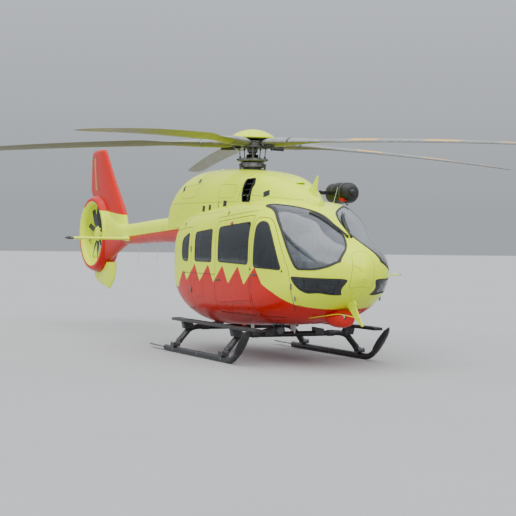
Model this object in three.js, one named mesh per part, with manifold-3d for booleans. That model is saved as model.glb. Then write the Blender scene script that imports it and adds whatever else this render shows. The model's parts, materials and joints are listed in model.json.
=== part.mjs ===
// Light twin-engine helicopter on skids, with a five-blade main rotor and a ducted tail fan.
// Millimetres. +Z is up, the nose points along -Y and the right-hand side of the aircraft is -X.
// Sizes are measured from the mast axis and the ground; the outer group then puts the origin
// under the middle of the whole machine.
import * as THREE from "three";
import { mergeVertices } from "three/addons/utils/BufferGeometryUtils.js";
import Module from "manifold-3d";

const wasm = await Module();
wasm.setup();

// Driving dimensions
const SEAM = 8; // gap round a door or panel that opens
const TOUCH = 0.4; // gap between pieces that rest on each other
const WALL = 34; // cabin wall and door thickness
const GLASS = 9; // window thickness
const COWL_WALL = 22;

const ROTOR = {
  radius: 5400,
  blades: 5,
  firstBlade: -50.27, // degrees, turned from the nose
  hubZ: 3340,
  droop: 216,
  rootRadius: 190,
  chord: 300,
};
const SWASHPLATE = { bottom: 2950 };
const MAST = { radius: 62, foot: 2925, head: 3300 };

// Paints
const PAINT = {
  yellow: { color: 0xdfe83a, roughness: 0.35, metalness: 0.0 },
  red: { color: 0xc9281c, roughness: 0.35, metalness: 0.0 },
  black: { color: 0x17181a, roughness: 0.55, metalness: 0.0 },
  glass: { color: 0x56606a, roughness: 0.08, metalness: 0.0 },
  blade: { color: 0xa9adaf, roughness: 0.45, metalness: 0.0 },
  steel: { color: 0x77797c, roughness: 0.4, metalness: 0.8 },
  alloy: { color: 0xb8babc, roughness: 0.4, metalness: 0.7 },
  trim: { color: 0x3a3d42, roughness: 0.8, metalness: 0.0 },
};

// Fuselage sections, nose to tail: the body is a smooth surface through them.
// y, half width, bottom z, z of the widest line, top z, roundness above and below that line
const FUSELAGE = [
  [-3520, 25, 1300, 1380, 1440, 2.0, 2.0],
  [-3490, 130, 1260, 1400, 1510, 2.1, 2.1],
  [-3440, 260, 1200, 1410, 1590, 2.2, 2.2],
  [-3360, 430, 1110, 1410, 1680, 2.2, 2.2],
  [-3220, 565, 1005, 1390, 1775, 2.2, 2.3],
  [-3050, 665, 900, 1350, 1870, 2.3, 2.4],
  [-2800, 765, 770, 1300, 2010, 2.4, 2.5],
  [-2500, 845, 665, 1240, 2180, 2.7, 2.6],
  [-2150, 895, 600, 1200, 2320, 3.4, 2.8],
  [-1800, 920, 560, 1190, 2385, 4.4, 3.0],
  [-1300, 932, 520, 1190, 2390, 5.0, 3.0],
  [-500, 935, 470, 1190, 2360, 5.0, 3.0],
  [250, 925, 448, 1200, 2300, 5.0, 3.0],
  [690, 905, 510, 1220, 2260, 4.6, 2.9],
  [1020, 860, 620, 1260, 2230, 4.0, 2.8],
  [1300, 770, 800, 1350, 2210, 3.4, 2.7],
  [1540, 620, 1060, 1500, 2190, 2.9, 2.6],
  [1720, 430, 1350, 1650, 2180, 2.6, 2.5],
  [1805, 230, 1560, 1800, 2150, 2.4, 2.4],
  [1830, 30, 1800, 1900, 2000, 2.0, 2.0],
];

// Engine and gearbox fairing on the roof: y, half width, top z, roundness
const COWL = [
  [-2230, 40, 2370, 2.2],
  [-2100, 210, 2450, 2.4],
  [-1700, 400, 2620, 2.8],
  [-1250, 530, 2770, 3.2],
  [-700, 630, 2860, 3.4],
  [0, 690, 2920, 3.6],
  [700, 715, 2935, 3.6],
  [1200, 715, 2890, 3.5],
  [1550, 700, 2770, 3.3],
  [1790, 660, 2580, 3.0],
  [1910, 560, 2430, 2.8],
  [1960, 380, 2330, 2.6],
];
const COWL_FOOT = 1980; // the fairing's sides run down to here before the roof trims them

// A smooth value between table rows: u counts rows, and the curve passes through each of them.
function smoothRow(table, u) {
  const i = Math.min(Math.floor(u), table.length - 2);
  const t = u - i;
  const row = (k) => table[Math.max(0, Math.min(table.length - 1, k))];
  return row(i).map((value, column) => {
    const [a, b, c, d] = [i - 1, i, i + 1, i + 2].map((k) => row(k)[column]);
    const before = (c - a) / 2;
    const after = (d - b) / 2;
    return (
      (2 * t ** 3 - 3 * t ** 2 + 1) * b +
      (t ** 3 - 2 * t ** 2 + t) * before +
      (3 * t ** 2 - 2 * t ** 3) * c +
      (t ** 3 - t ** 2) * after
    );
  });
}

// A closed solid from a triangle list over shared points.
function solidFrom(points, triangles) {
  const vertProperties = new Float32Array(points.flat());
  const build = (list) =>
    new wasm.Manifold(new wasm.Mesh({ numProp: 3, vertProperties, triVerts: new Uint32Array(list.flat()) }));
  const made = build(triangles);
  return made.volume() > 0 ? made : build(triangles.map(([a, b, c]) => [a, c, b]));
}

// A three.js geometry as a solid.
function solidOf(geometry) {
  const plain = geometry.index ? geometry.toNonIndexed() : geometry.clone();
  const bare = new THREE.BufferGeometry().setAttribute("position", plain.getAttribute("position"));
  const merged = mergeVertices(bare, 1e-3);
  const made = new wasm.Manifold(
    new wasm.Mesh({
      numProp: 3,
      vertProperties: merged.attributes.position.array,
      triVerts: new Uint32Array(merged.index.array),
    }),
  );
  return made;
}

function geometryOf(solid) {
  const mesh = solid.getMesh();
  const points = new Float32Array(mesh.numVert * 3);
  for (let i = 0; i < mesh.numVert; i++) {
    points.set(mesh.vertProperties.subarray(i * mesh.numProp, i * mesh.numProp + 3), i * 3);
  }
  return new THREE.BufferGeometry()
    .setAttribute("position", new THREE.BufferAttribute(points, 3))
    .setIndex(new THREE.BufferAttribute(mesh.triVerts, 1));
}

// Skins rings of points, each ring with the same count, and closes both ends.
function loft(rings) {
  const count = rings[0].length;
  const points = rings.flat();
  const triangles = [];
  rings.slice(1).forEach((_, r) => {
    for (let k = 0; k < count; k++) {
      const next = (k + 1) % count;
      const [a, b, c, d] = [r * count + k, r * count + next, (r + 1) * count + next, (r + 1) * count + k];
      triangles.push([a, b, c], [a, c, d]);
    }
  });
  const cap = (ring, flip) => {
    const start = ring * count;
    for (let k = 1; k < count - 1; k++) {
      triangles.push(flip ? [start, start + k + 1, start + k] : [start, start + k, start + k + 1]);
    }
  };
  cap(0, true);
  cap(rings.length - 1, false);
  return solidFrom(points, triangles);
}

const power = (value, exponent) => Math.sign(value) * Math.abs(value) ** exponent;

function fuselageRing(row, inset, segments) {
  const [y, halfWidth, bottom, wide, top, upper, lower] = row;
  const width = Math.max(halfWidth - inset, 4);
  const rise = Math.max(top - inset - wide, 4);
  const drop = Math.max(wide - bottom - inset, 4);
  return Array.from({ length: segments }, (_, k) => {
    const angle = (2 * Math.PI * (k + 0.5)) / segments;
    const above = Math.sin(angle) > 0;
    const round = 2 / (above ? upper : lower);
    const z = power(Math.sin(angle), round) * (above ? rise : drop);
    return [width * power(Math.cos(angle), round), y, wide + z];
  });
}

// The whole fuselage as a solid, with its skin moved in by inset.
function fuselageSolid(inset, perRow = 2, segments = 28) {
  const rows = [];
  const last = FUSELAGE.length - 1;
  for (let u = 0; u <= last * perRow; u++) rows.push(smoothRow(FUSELAGE, u / perRow));
  const nose = rows[0][0];
  const tail = rows[rows.length - 1][0];
  const middle = (nose + tail) / 2;
  const shrink = (tail - nose - 2 * inset) / (tail - nose);
  return loft(
    rows.map((row) => {
      const y = middle + (row[0] - middle) * shrink;
      return fuselageRing([y, ...row.slice(1)], inset, segments);
    }),
  );
}

function cowlSolid(inset, perRow = 1, segments = 14) {
  const rows = [];
  for (let u = 0; u <= (COWL.length - 1) * perRow; u++) rows.push(smoothRow(COWL, u / perRow));
  const nose = rows[0][0];
  const tail = rows[rows.length - 1][0];
  const middle = (nose + tail) / 2;
  const shrink = (tail - nose - 2 * inset) / (tail - nose);
  return loft(
    rows.map(([y, halfWidth, top, round]) => {
      const width = Math.max(halfWidth - inset, 6);
      const rise = Math.max(top - inset - COWL_FOOT, 6);
      return Array.from({ length: segments + 1 }, (_, k) => {
        const angle = (Math.PI * k) / segments;
        return [
          width * power(Math.cos(angle), 2 / round),
          middle + (y - middle) * shrink,
          COWL_FOOT + rise * power(Math.sin(angle), 2 / round),
        ];
      });
    }),
  );
}

// Moves each side of an outline outwards by grow; points are [y, z].
function grown(outline, grow) {
  const area = outline.reduce((sum, [a, b], i) => {
    const [c, d] = outline[(i + 1) % outline.length];
    return sum + a * d - c * b;
  }, 0);
  const turn = Math.sign(area);
  const side = (i) => {
    const [a, b] = outline[i % outline.length];
    const [c, d] = outline[(i + 1) % outline.length];
    const length = Math.hypot(c - a, d - b);
    const normal = [(turn * (d - b)) / length, (-turn * (c - a)) / length];
    return { normal, reach: normal[0] * a + normal[1] * b + grow };
  };
  return outline.map((_, i) => {
    const p = side(i + outline.length - 1);
    const q = side(i);
    const det = p.normal[0] * q.normal[1] - p.normal[1] * q.normal[0];
    return [
      (p.reach * q.normal[1] - q.reach * p.normal[1]) / det,
      (p.normal[0] * q.reach - q.normal[0] * p.reach) / det,
    ];
  });
}

// A side-view outline run across the aircraft from x0 to x1.
function acrossBody(outline, x0, x1) {
  const shape = new THREE.Shape(outline.map(([y, z]) => new THREE.Vector2(y, z)));
  const geometry = new THREE.ExtrudeGeometry(shape, { depth: Math.abs(x1 - x0), bevelEnabled: false });
  // The shape's x, y and depth become the aircraft's y, z and x.
  geometry.applyMatrix4(new THREE.Matrix4().set(0, 0, 1, Math.min(x0, x1), 1, 0, 0, 0, 0, 1, 0, 0, 0, 0, 0, 1));
  return solidOf(geometry);
}

// The ground plan of a windscreen, as an upright prism on the side given by sign.
function windscreenEdge(sign, grow) {
  const outline = grown(WINDSCREEN_EDGE, grow).map(([x, y]) => new THREE.Vector2(-sign * x, y));
  const geometry = new THREE.ExtrudeGeometry(new THREE.Shape(outline), { depth: 2500, bevelEnabled: false });
  return solidOf(geometry.translate(0, 0, 1000));
}

function block(x0, x1, y0, y1, z0, z1) {
  const geometry = new THREE.BoxGeometry(x1 - x0, y1 - y0, z1 - z0);
  geometry.translate((x0 + x1) / 2, (y0 + y1) / 2, (z0 + z1) / 2);
  return solidOf(geometry);
}

// A round bar between two points.
function bar(from, to, radius, sides = 10, endRadius = radius) {
  const a = new THREE.Vector3(...from);
  const b = new THREE.Vector3(...to);
  const geometry = new THREE.CylinderGeometry(endRadius, radius, a.distanceTo(b), sides);
  const turn = new THREE.Quaternion().setFromUnitVectors(new THREE.Vector3(0, 1, 0), b.clone().sub(a).normalize());
  geometry.applyQuaternion(turn);
  geometry.translate((a.x + b.x) / 2, (a.y + b.y) / 2, (a.z + b.z) / 2);
  return solidOf(geometry);
}

// A tube bent along corner points: rings at each corner lie in the mitre plane.
function bentTube(path, radius, sides = 10) {
  const points = path.map((p) => new THREE.Vector3(...p));
  const rings = points.map((p, i) => {
    const before = i ? p.clone().sub(points[i - 1]).normalize() : null;
    const after = i < points.length - 1 ? points[i + 1].clone().sub(p).normalize() : null;
    const along = (before ?? after).clone().add(after ?? before).normalize();
    const ahead = after ?? before;
    const level = new THREE.Vector3().crossVectors(along, new THREE.Vector3(0.01, 0.02, 1)).normalize();
    const upward = new THREE.Vector3().crossVectors(level, along).normalize();
    const mitre = 1 / Math.max(0.5, along.dot(ahead));
    return Array.from({ length: sides }, (_, k) => {
      const angle = (2 * Math.PI * (k + 0.5)) / sides;
      const q = p.clone();
      q.addScaledVector(level, radius * Math.cos(angle));
      q.addScaledVector(upward, radius * mitre * Math.sin(angle));
      return q.toArray();
    });
  });
  return loft(rings);
}

function turned(profile, axisPoint, toward, sides = 24) {
  const geometry = new THREE.LatheGeometry(
    profile.map(([radius, along]) => new THREE.Vector2(radius, along)),
    sides,
  );
  const turn = new THREE.Quaternion().setFromUnitVectors(
    new THREE.Vector3(0, 1, 0),
    new THREE.Vector3(...toward).normalize(),
  );
  geometry.applyQuaternion(turn);
  geometry.translate(...axisPoint);
  const made = solidOf(geometry);
  if (made.volume() > 0) return made;
  throw new Error("a turned profile is inside out");
}

const joined = (...solids) => solids.reduce((a, b) => a.add(b));
const SIDES = [
  { side: "right", sign: -1 },
  { side: "left", sign: 1 },
];

const helicopter = new THREE.Group();
function place(name, solid, paint) {
  const mesh = new THREE.Mesh(geometryOf(solid), new THREE.MeshStandardMaterial(PAINT[paint]));
  mesh.name = name;
  helicopter.add(mesh);
  return mesh;
}

// Cabin: outlines seen from the side, as [y, z]
const FLOOR_Z = 640;
const FRONT_DOOR = [
  [-1862, 700], [-1862, 2080], [-1915, 2125], [-2120, 2118], [-2250, 2030], [-2400, 1860],
  [-2560, 1660], [-2740, 1400], [-2790, 1200], [-2740, 960], [-2560, 740], [-2480, 700],
];
const FRONT_DOOR_WINDOW = [
  [-1912, 1440], [-1912, 2000], [-1960, 2062], [-2060, 2072], [-2150, 2030], [-2290, 1870],
  [-2440, 1662], [-2590, 1410], [-2570, 1385], [-1945, 1405],
];
const SLIDING_DOOR = [[-1798, 700], [-1798, 2160], [-660, 2060], [-660, 700]];
const SLIDING_DOOR_FOOT = [[-1700, 692.5], [-1700, 720], [-760, 720], [-760, 692.5]]; // stands on its lower track
const SLIDING_DOOR_WINDOW = [
  [-1755, 1480], [-1755, 2030], [-1725, 2060], [-790, 1985], [-755, 1950], [-755, 1490], [-785, 1460], [-1725, 1440],
];
const SIDE_WINDOW = [[-520, 1480], [-520, 1925], [-490, 1955], [90, 1905], [125, 1870], [125, 1480], [95, 1450], [-490, 1450]];
const REAR_DOOR_WINDOW = [
  [390, 1480], [370, 1870], [410, 1890], [620, 1810], [680, 1740], [680, 1560], [640, 1460], [430, 1440],
];
const REAR_DOOR = [
  [270, 700], [270, 1960], [330, 1985], [760, 1955], [1180, 1900], [1560, 1700], [1700, 1672], [2400, 1672], [2400, 700],
];
const WINDSCREEN = [
  [-1800, 3000], [-1800, 2300], [-2000, 2262], [-2130, 2190], [-2420, 1936], [-2660, 1666],
  [-2860, 1430], [-2920, 1395], [-3200, 1400], [-3350, 1455], [-3410, 1535], [-3700, 1600], [-3700, 3000],
];
// The inner edge of the right windscreen seen from above, as [x, y]
const WINDSCREEN_EDGE = [
  [-1500, -1700], [-640, -1810], [-530, -2000], [-420, -2170], [-300, -2340], [-170, -2480], [-70, -2640],
  [-55, -2900], [-60, -3040], [-100, -3170], [-150, -3275], [-220, -3360], [-346, -3412], [-460, -3440], [-1500, -3440],
];
const CHIN_WINDOW = [[-2816, 1298], [-2922, 1195], [-3060, 1115], [-3190, 1080], [-3250, 1095], [-3440, 1285]];
const CHIN_GAP = 190; // half width of the nose between the chin windows

function sidePiece(solid, outline, sign, from = 0) {
  return solid.intersect(acrossBody(outline, sign * from, sign * 1500));
}

// Hinge barrels are stacked on one upright axis: the fixed ones above and below the door's own.
const FRONT_HINGE = { x: 790, y: -2797, centres: [1080], length: 110, radius: 13 };
const REAR_HINGE = { x: 940, y: 262, centres: [1000, 1640], length: 90, radius: 12 };

function hingeParts({ x, y, centres, length, radius }, sign, inward) {
  const barrel = (z0, z1) => bar([sign * x, y, z0], [sign * x, y, z1], radius, 10);
  // A leaf runs along the skin from the barrel, then into it clear of the seam.
  const slab = (depth, y0, y1, z0, z1) =>
    block(Math.min(sign * x, sign * (x - depth)), Math.max(sign * x, sign * (x - depth)), y0, y1, z0, z1);
  const knuckle = (z0, z1, way) => {
    const span = (near, far) => [y + Math.min(way * near, way * far), y + Math.max(way * near, way * far)];
    return joined(barrel(z0, z1), slab(8, ...span(0, way > 0 ? 85 : 55), z0, z1), slab(inward, ...span(way > 0 ? 50 : 25, way > 0 ? 85 : 55), z0, z1));
  };
  const half = length / 2;
  const own = centres.map((z) => knuckle(z - half, z + half, 1));
  const fixed = centres.flatMap((z) => [
    knuckle(z - half - 40, z - half - 0.5, -1),
    knuckle(z + half + 0.5, z + half + 40, -1),
  ]);
  return { own: joined(...own), fixed: joined(...fixed) };
}

function buildCabin() {
  const outer = fuselageSolid(0);
  const roomInside = fuselageSolid(WALL).intersect(block(-2000, 2000, -3640, 4000, FLOOR_Z, 3000));
  const underGlass = fuselageSolid(GLASS);
  const glassLayer = outer.subtract(underGlass);
  const wall = outer.subtract(fuselageSolid(WALL));
  let body = outer.subtract(roomInside);

  const fixedHinges = [];
  const cut = (outline, sign, from = 0) => {
    body = body.subtract(acrossBody(outline, sign * from, sign * 1500));
  };
  for (const { side, sign } of SIDES) {
    // Each door is a piece of the wall, with its own window cut in it.
    const door = (name, outline, windowOutline, extra) => {
      cut(grown(outline, SEAM), sign, 560);
      const panel = sidePiece(wall, outline, sign, 560).subtract(
        acrossBody(windowOutline, sign * 560, sign * 1500),
      );
      place(name, panel.add(extra), "yellow");
      place(name + "_window", sidePiece(glassLayer, grown(windowOutline, -TOUCH), sign, 560), "glass");
    };
    const frontHinge = hingeParts(FRONT_HINGE, sign, 115);
    fixedHinges.push(frontHinge.fixed);
    door("front_door_" + side, FRONT_DOOR, FRONT_DOOR_WINDOW, frontHinge.own);
    door("sliding_door_" + side, SLIDING_DOOR, SLIDING_DOOR_WINDOW, sidePiece(wall, SLIDING_DOOR_FOOT, sign, 560));

    cut(SIDE_WINDOW, sign, 400);
    place("side_window_" + side, sidePiece(glassLayer, grown(SIDE_WINDOW, -TOUCH), sign, 400), "glass");
    const windscreen = (grow) => acrossBody(grown(WINDSCREEN, grow), 0, sign * 1500).intersect(windscreenEdge(sign, grow));
    body = body.subtract(windscreen(0));
    place("windscreen_" + side, glassLayer.intersect(windscreen(-TOUCH)), "glass");
    cut(CHIN_WINDOW, sign, CHIN_GAP);
    place("chin_window_" + side, sidePiece(glassLayer, grown(CHIN_WINDOW, -TOUCH), sign, CHIN_GAP + TOUCH), "glass");

    // Rear doors meet on the centre line and wrap round to the side.
    cut(grown(REAR_DOOR, SEAM), sign);
    const leaf = sidePiece(wall, REAR_DOOR, sign, SEAM / 2);
    const rearHinge = hingeParts(REAR_HINGE, sign, 52);
    fixedHinges.push(rearHinge.fixed);
    place("rear_door_" + side, leaf.subtract(acrossBody(REAR_DOOR_WINDOW, sign * 400, sign * 1500)).add(rearHinge.own), "yellow");
    place("rear_door_" + side + "_window", sidePiece(glassLayer, grown(REAR_DOOR_WINDOW, -TOUCH), sign, 400), "glass");
  }

  // The shell is made in four parts: belly, nose, cockpit frame and cabin.
  body = joined(body, ...fixedHinges);
  const inBox = (y0, y1, z0, z1) => body.intersect(block(-1500, 1500, y0, y1, z0, z1));
  place("belly", inBox(-4200, 2500, 0, FLOOR_Z - TOUCH), "red");
  place("nose", inBox(-4200, -2900, 0, 1330), "yellow");
  place("cockpit_frame", inBox(-4200, -2890, 1330 + TOUCH, 3000).add(inBox(-2900 + TOUCH, -1830, FLOOR_Z, 3000)), "yellow");
  place("cabin_shell", inBox(-1830 + TOUCH, 2500, FLOOR_Z, 3000), "yellow");
}

// Engine and gearbox fairing, trimmed to the roof it stands on
const FAIRING_SPLIT = -760;
const INTAKE = [[-1085, 2385], [-1080, 2560], [-1115, 2690], [-1080, 2740], [-870, 2735], [-820, 2640], [-820, 2385]];
const EXHAUST = { x: 400, y: 1890, z: 2400, outer: 165, inner: 140, length: 330 };
const MAST_HOLE = 190;

function buildRoof() {
  const outer = cowlSolid(0);
  const inner = cowlSolid(COWL_WALL);
  const roof = fuselageSolid(-TOUCH);
  let shell = outer.subtract(inner).subtract(roof);
  shell = shell.subtract(bar([0, 0, 2600], [0, 0, 3100], MAST_HOLE, 20));
  const keep = (y0, y1, x0 = -1500, x1 = 1500) => shell.intersect(block(x0, x1, y0, y1, 1900, 3200));

  let fairing = keep(-3000, FAIRING_SPLIT);
  for (const { sign } of SIDES) {
    fairing = fairing.subtract(acrossBody(INTAKE, sign * 200, sign * 900));
  }
  place("gearbox_fairing", fairing, "yellow");
  for (const { side, sign } of SIDES) {
    const near = (sign * TOUCH) / 2;
    const half = sign > 0 ? keep(FAIRING_SPLIT + TOUCH, 3000, near, 1500) : keep(FAIRING_SPLIT + TOUCH, 3000, -1500, near);
    const { x, y, z, outer: pipe, inner: bore, length } = EXHAUST;
    const toward = [sign * 0.3, 1, 0.05];
    const hole = turned([[0, -300], [pipe + TOUCH, -300], [pipe + TOUCH, 500], [0, 500]], [sign * x, y, z], toward, 16);
    place("engine_cowling_" + side, half.subtract(hole), "yellow");
    const profile = [[bore, -240], [pipe, -240], [pipe, length - 240], [bore, length - 240], [bore, -240]];
    place("exhaust_" + side, turned(profile, [sign * x, y, z], toward, 16), "steel");
  }
  // Two engines and the gearbox, as one plain block on the roof deck
  const engines = block(-520, 520, 300, 1280, 2300, 2640);
  const gearbox = block(-260, 260, -330, 301, 2200, 2860);
  const casing = joined(engines, gearbox).intersect(cowlSolid(COWL_WALL + 8)).subtract(roof);
  // The mast stands on the casing's neck, and the collar round it carries the fixed swashplate.
  const neck = bar([0, 0, 2700], [0, 0, MAST.foot - TOUCH], 150, 20);
  const collar = bar([0, 0, 2800], [0, 0, SWASHPLATE.bottom - TOUCH], 150, 20).subtract(bar([0, 0, 2700], [0, 0, 3000], 100, 20));
  place("engines_and_gearbox", joined(casing, neck, collar), "steel");
}

// Tail
const BOOM = [
  // y, half width, half height, middle z
  [1500, 300, 285, 1950],
  [2400, 245, 245, 1960],
  [3600, 195, 220, 1935],
  [4700, 155, 205, 1885],
  [5480, 125, 195, 1855],
];
const BOOM_WALL = 22;
const DUCT = { y: 7075, z: 1865, throat: 588, lip: 790, halfDepth: 190, lipDepth: 120 };
const FIN_X = 62;
const FIN = [
  // z, leading edge y, trailing edge y, half thickness
  [1900, 5480, 6700, 105],
  [2280, 5590, 7100, 95],
  [2700, 5960, 7560, 85],
  [3000, 6250, 7600, 75],
  [3480, 6660, 7560, 62],
  [3595, 6800, 7330, 45],
];
const VENTRAL = [[6060, 1270], [6150, 960], [6440, 745], [7330, 900], [7330, 1120]];
const STABILIZER = { halfSpan: 1310, y: 5240, z: 1775, chord: 430, thickness: 56 };

function foil(y0, y1, halfThickness) {
  // Eight points round a symmetric fin section, as [along y, across].
  const at = (share) => y0 + (y1 - y0) * share;
  return [
    [at(0), 0], [at(0.06), 0.6], [at(0.28), 1], [at(0.65), 0.72],
    [at(1), 0.08], [at(1), -0.08], [at(0.65), -0.72], [at(0.28), -1], [at(0.06), -0.6],
  ].map(([y, across]) => [y, across * halfThickness]);
}

function buildTail() {
  const body = fuselageSolid(-TOUCH);
  const section = ([y, halfWidth, halfHeight, z]) =>
    Array.from({ length: 16 }, (_, k) => {
      const angle = (2 * Math.PI * (k + 0.5)) / 16;
      return [halfWidth * power(Math.cos(angle), 0.8), y, z + halfHeight * power(Math.sin(angle), 0.8)];
    });
  const cowl = cowlSolid(-TOUCH);
  const stabilizerSlot = acrossBody(stabilizerOutline(TOUCH), -1500, 1500);
  const hollow = BOOM.map(([at, halfWidth, halfHeight, height], i) => {
    const end = i === 0 ? -10 : i === BOOM.length - 1 ? 10 : 0;
    return section([at + end, halfWidth - BOOM_WALL, halfHeight - BOOM_WALL, height]);
  });
  const boom = loft(BOOM.map(section)).subtract(loft(hollow)).subtract(body).subtract(cowl);
  place("tail_boom", boom.subtract(stabilizerSlot), "yellow");

  const { y, z, throat, lip, halfDepth, lipDepth } = DUCT;
  const ringSolid = (bore) =>
    turned(
      [
        [bore, -lipDepth], [throat + 70, -halfDepth], [throat + 140, -halfDepth], [lip, -80],
        [lip, 80], [throat + 140, halfDepth], [throat + 70, halfDepth], [bore, lipDepth], [bore, -lipDepth],
      ],
      [0, y, z],
      [1, 0, 0],
      40,
    );
  const ring = ringSolid(throat);
  const finRing = (row) => foil(row[1], row[2], row[3]).map(([along, across]) => [across, along, row[0]]);
  const hole = bar([-500, y, z], [500, y, z], throat + 60, 40);
  const fin = loft(FIN.map(finRing));
  const neck = loft([
    [5480.4, 125, 195, 1855],
    [6200, 150, 420, 1850],
    [6750, 190, 620, 1850],
  ].map(section));
  const lower = acrossBody(VENTRAL, -38, 38);
  place("tail_shroud", joined(ring, joined(fin, neck, lower).subtract(hole)), "red");

  const hub = turned([[0, -150], [120, -150], [150, -110], [150, 10], [0, 10]], [30 + TOUCH, y, z], [-1, 0, 0], 20);
  const vanes = Array.from({ length: 10 }, (_, k) => {
    const angle = (2 * Math.PI * (k + 0.3)) / 10;
    const [c, s] = [Math.cos(angle), Math.sin(angle)];
    return bar([115, y + 120 * c, z + 120 * s], [95, y + (throat + 8) * c, z + (throat + 8) * s], 22, 6);
  });
  place("fan_stator", joined(hub, ...vanes).subtract(ringSolid(throat - TOUCH)), "yellow");
  place("horizontal_stabilizer", acrossBody(stabilizerOutline(0), -STABILIZER.halfSpan, STABILIZER.halfSpan), "yellow");
}

function stabilizerOutline(grow) {
  const { y, z, chord, thickness } = STABILIZER;
  const outline = foil(y - chord / 2, y + chord / 2, thickness / 2).map(([along, across]) => [along, z + across]);
  return grow ? grown(outline, grow) : outline;
}

function buildTailFan() {
  const { y, z, throat } = DUCT;
  const hub = turned([[0, 0], [165, 0], [150, 70], [90, 105], [0, 115]], [20, y, z], [-1, 0, 0], 20);
  const blades = Array.from({ length: 10 }, (_, k) => {
    const angle = (2 * Math.PI * (k + (k % 2) * 0.12)) / 10;
    const root = 130;
    const tip = throat - 12;
    const geometry = new THREE.BoxGeometry(16, 84, tip - root);
    geometry.translate(0, 0, (tip + root) / 2);
    geometry.applyMatrix4(new THREE.Matrix4().makeRotationZ(0.6));
    geometry.applyMatrix4(new THREE.Matrix4().makeRotationX(angle));
    geometry.translate(-25, y, z);
    return solidOf(geometry);
  });
  place("tail_fan", joined(hub, ...blades), "steel");
}

// Landing skids
const SKID = { x: 1160, radius: 45, rear: 720, bend: -1740, tip: [-2330, 540] };
const SKID_Z = SKID.radius + 4; // height of the tubes' centre line
const CROSS_TUBE = { front: -1480, rear: 300, radius: 42, z: 395 };
const STEP = { x: 990, rear: 705, front: -2300, z: 530, width: 150, depth: 50 };

function buildSkids() {
  const { x, radius, rear, bend, tip } = SKID;
  for (const { side, sign } of SIDES) {
    const tube = bentTube(
      [
        [sign * x, rear, SKID_Z], [sign * x, bend, SKID_Z], [sign * x, bend - 160, SKID_Z + 75],
        [sign * x, tip[0], tip[1]],
      ],
      radius,
    );
    const tail = block(sign * x - 30, sign * x + 30, rear - 60, rear + 620, radius, radius + 14);
    // A flat wear plate under the tube is what stands on the ground.
    const plate = block(sign * x - 26, sign * x + 26, bend + 90, rear - 40, 0, 14);
    place("skid_" + side, joined(tube, tail, plate), "black");

    const { x: stepX, rear: stepRear, front, z, width, depth } = STEP;
    const board = block(sign * stepX - width / 2, sign * stepX + width / 2, front, stepRear, z - depth, z);
    place("step_" + side, board, "black");
  }
  for (const [name, y] of [["front_cross_tube", CROSS_TUBE.front], ["rear_cross_tube", CROSS_TUBE.rear]]) {
    const { radius: tubeRadius, z } = CROSS_TUBE;
    const half = (sign) => [
      [sign * 560, y, z], [sign * 830, y, z + 10], [sign * 930, y, z - 30],
      [sign * (x - 10), y, radius * 2 + 24],
    ];
    const path = [...half(-1).reverse(), ...half(1)];
    let tube = bentTube(path, tubeRadius);
    for (const { sign } of SIDES) {
      // A clamp saddle sits on the skid, and a bracket carries the step.
      const saddle = block(sign * x - 58, sign * x + 58, y - 75, y + 75, SKID_Z + radius + TOUCH, SKID_Z + radius + 62);
      const bracket = block(sign * 930 - 60, sign * 930 + 90, y - 55, y + 55, z - 30, STEP.z - STEP.depth - TOUCH);
      tube = joined(tube, saddle, bracket);
    }
    for (const sign of [-1, 1]) {
      tube = tube.add(block(sign * 420 - 70, sign * 420 + 70, y - 60, y + 60, z - 20, z + 120));
    }
    place(name, tube.subtract(fuselageSolid(-TOUCH)), "black");
  }
}

// Main rotor
const HUB = { radius: 250, bottom: 3265, top: 3375 };
const CAP = { radius: 352, z: 3420, rise: 140 };

function bladeSolid(index) {
  const { radius, rootRadius, chord, hubZ, droop } = ROTOR;
  // radius, chord, thickness, offset of the middle of the chord
  const stations = [
    [rootRadius, 150, 96, 0],
    [480, 210, 116, 0],
    [900, 190, 92, 0],
    [1350, 170, 60, 0],
    [1800, chord, 44, 30],
    [3600, chord, 38, 30],
    [5050, chord, 34, 30],
    [radius, 150, 16, 60],
  ];
  const rings = stations.map(([r, width, thick, offset]) => {
    const z = hubZ - droop * (r / radius) ** 2;
    const c = width / 2;
    const t = thick / 2;
    return [
      [-c, 0], [-0.6 * c, 0.75 * t], [-0.1 * c, t], [0.5 * c, 0.6 * t], [c, 0.05 * t],
      [c, -0.1 * t], [0.4 * c, -0.7 * t], [-0.2 * c, -t], [-0.7 * c, -0.7 * t],
    ].map(([across, up]) => [across + offset, -r, z + up]);
  });
  // The blade points to the nose at 0 degrees and turns with the rotor.
  return loft(rings).rotate([0, 0, ROTOR.firstBlade + (360 / ROTOR.blades) * index]);
}

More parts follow.
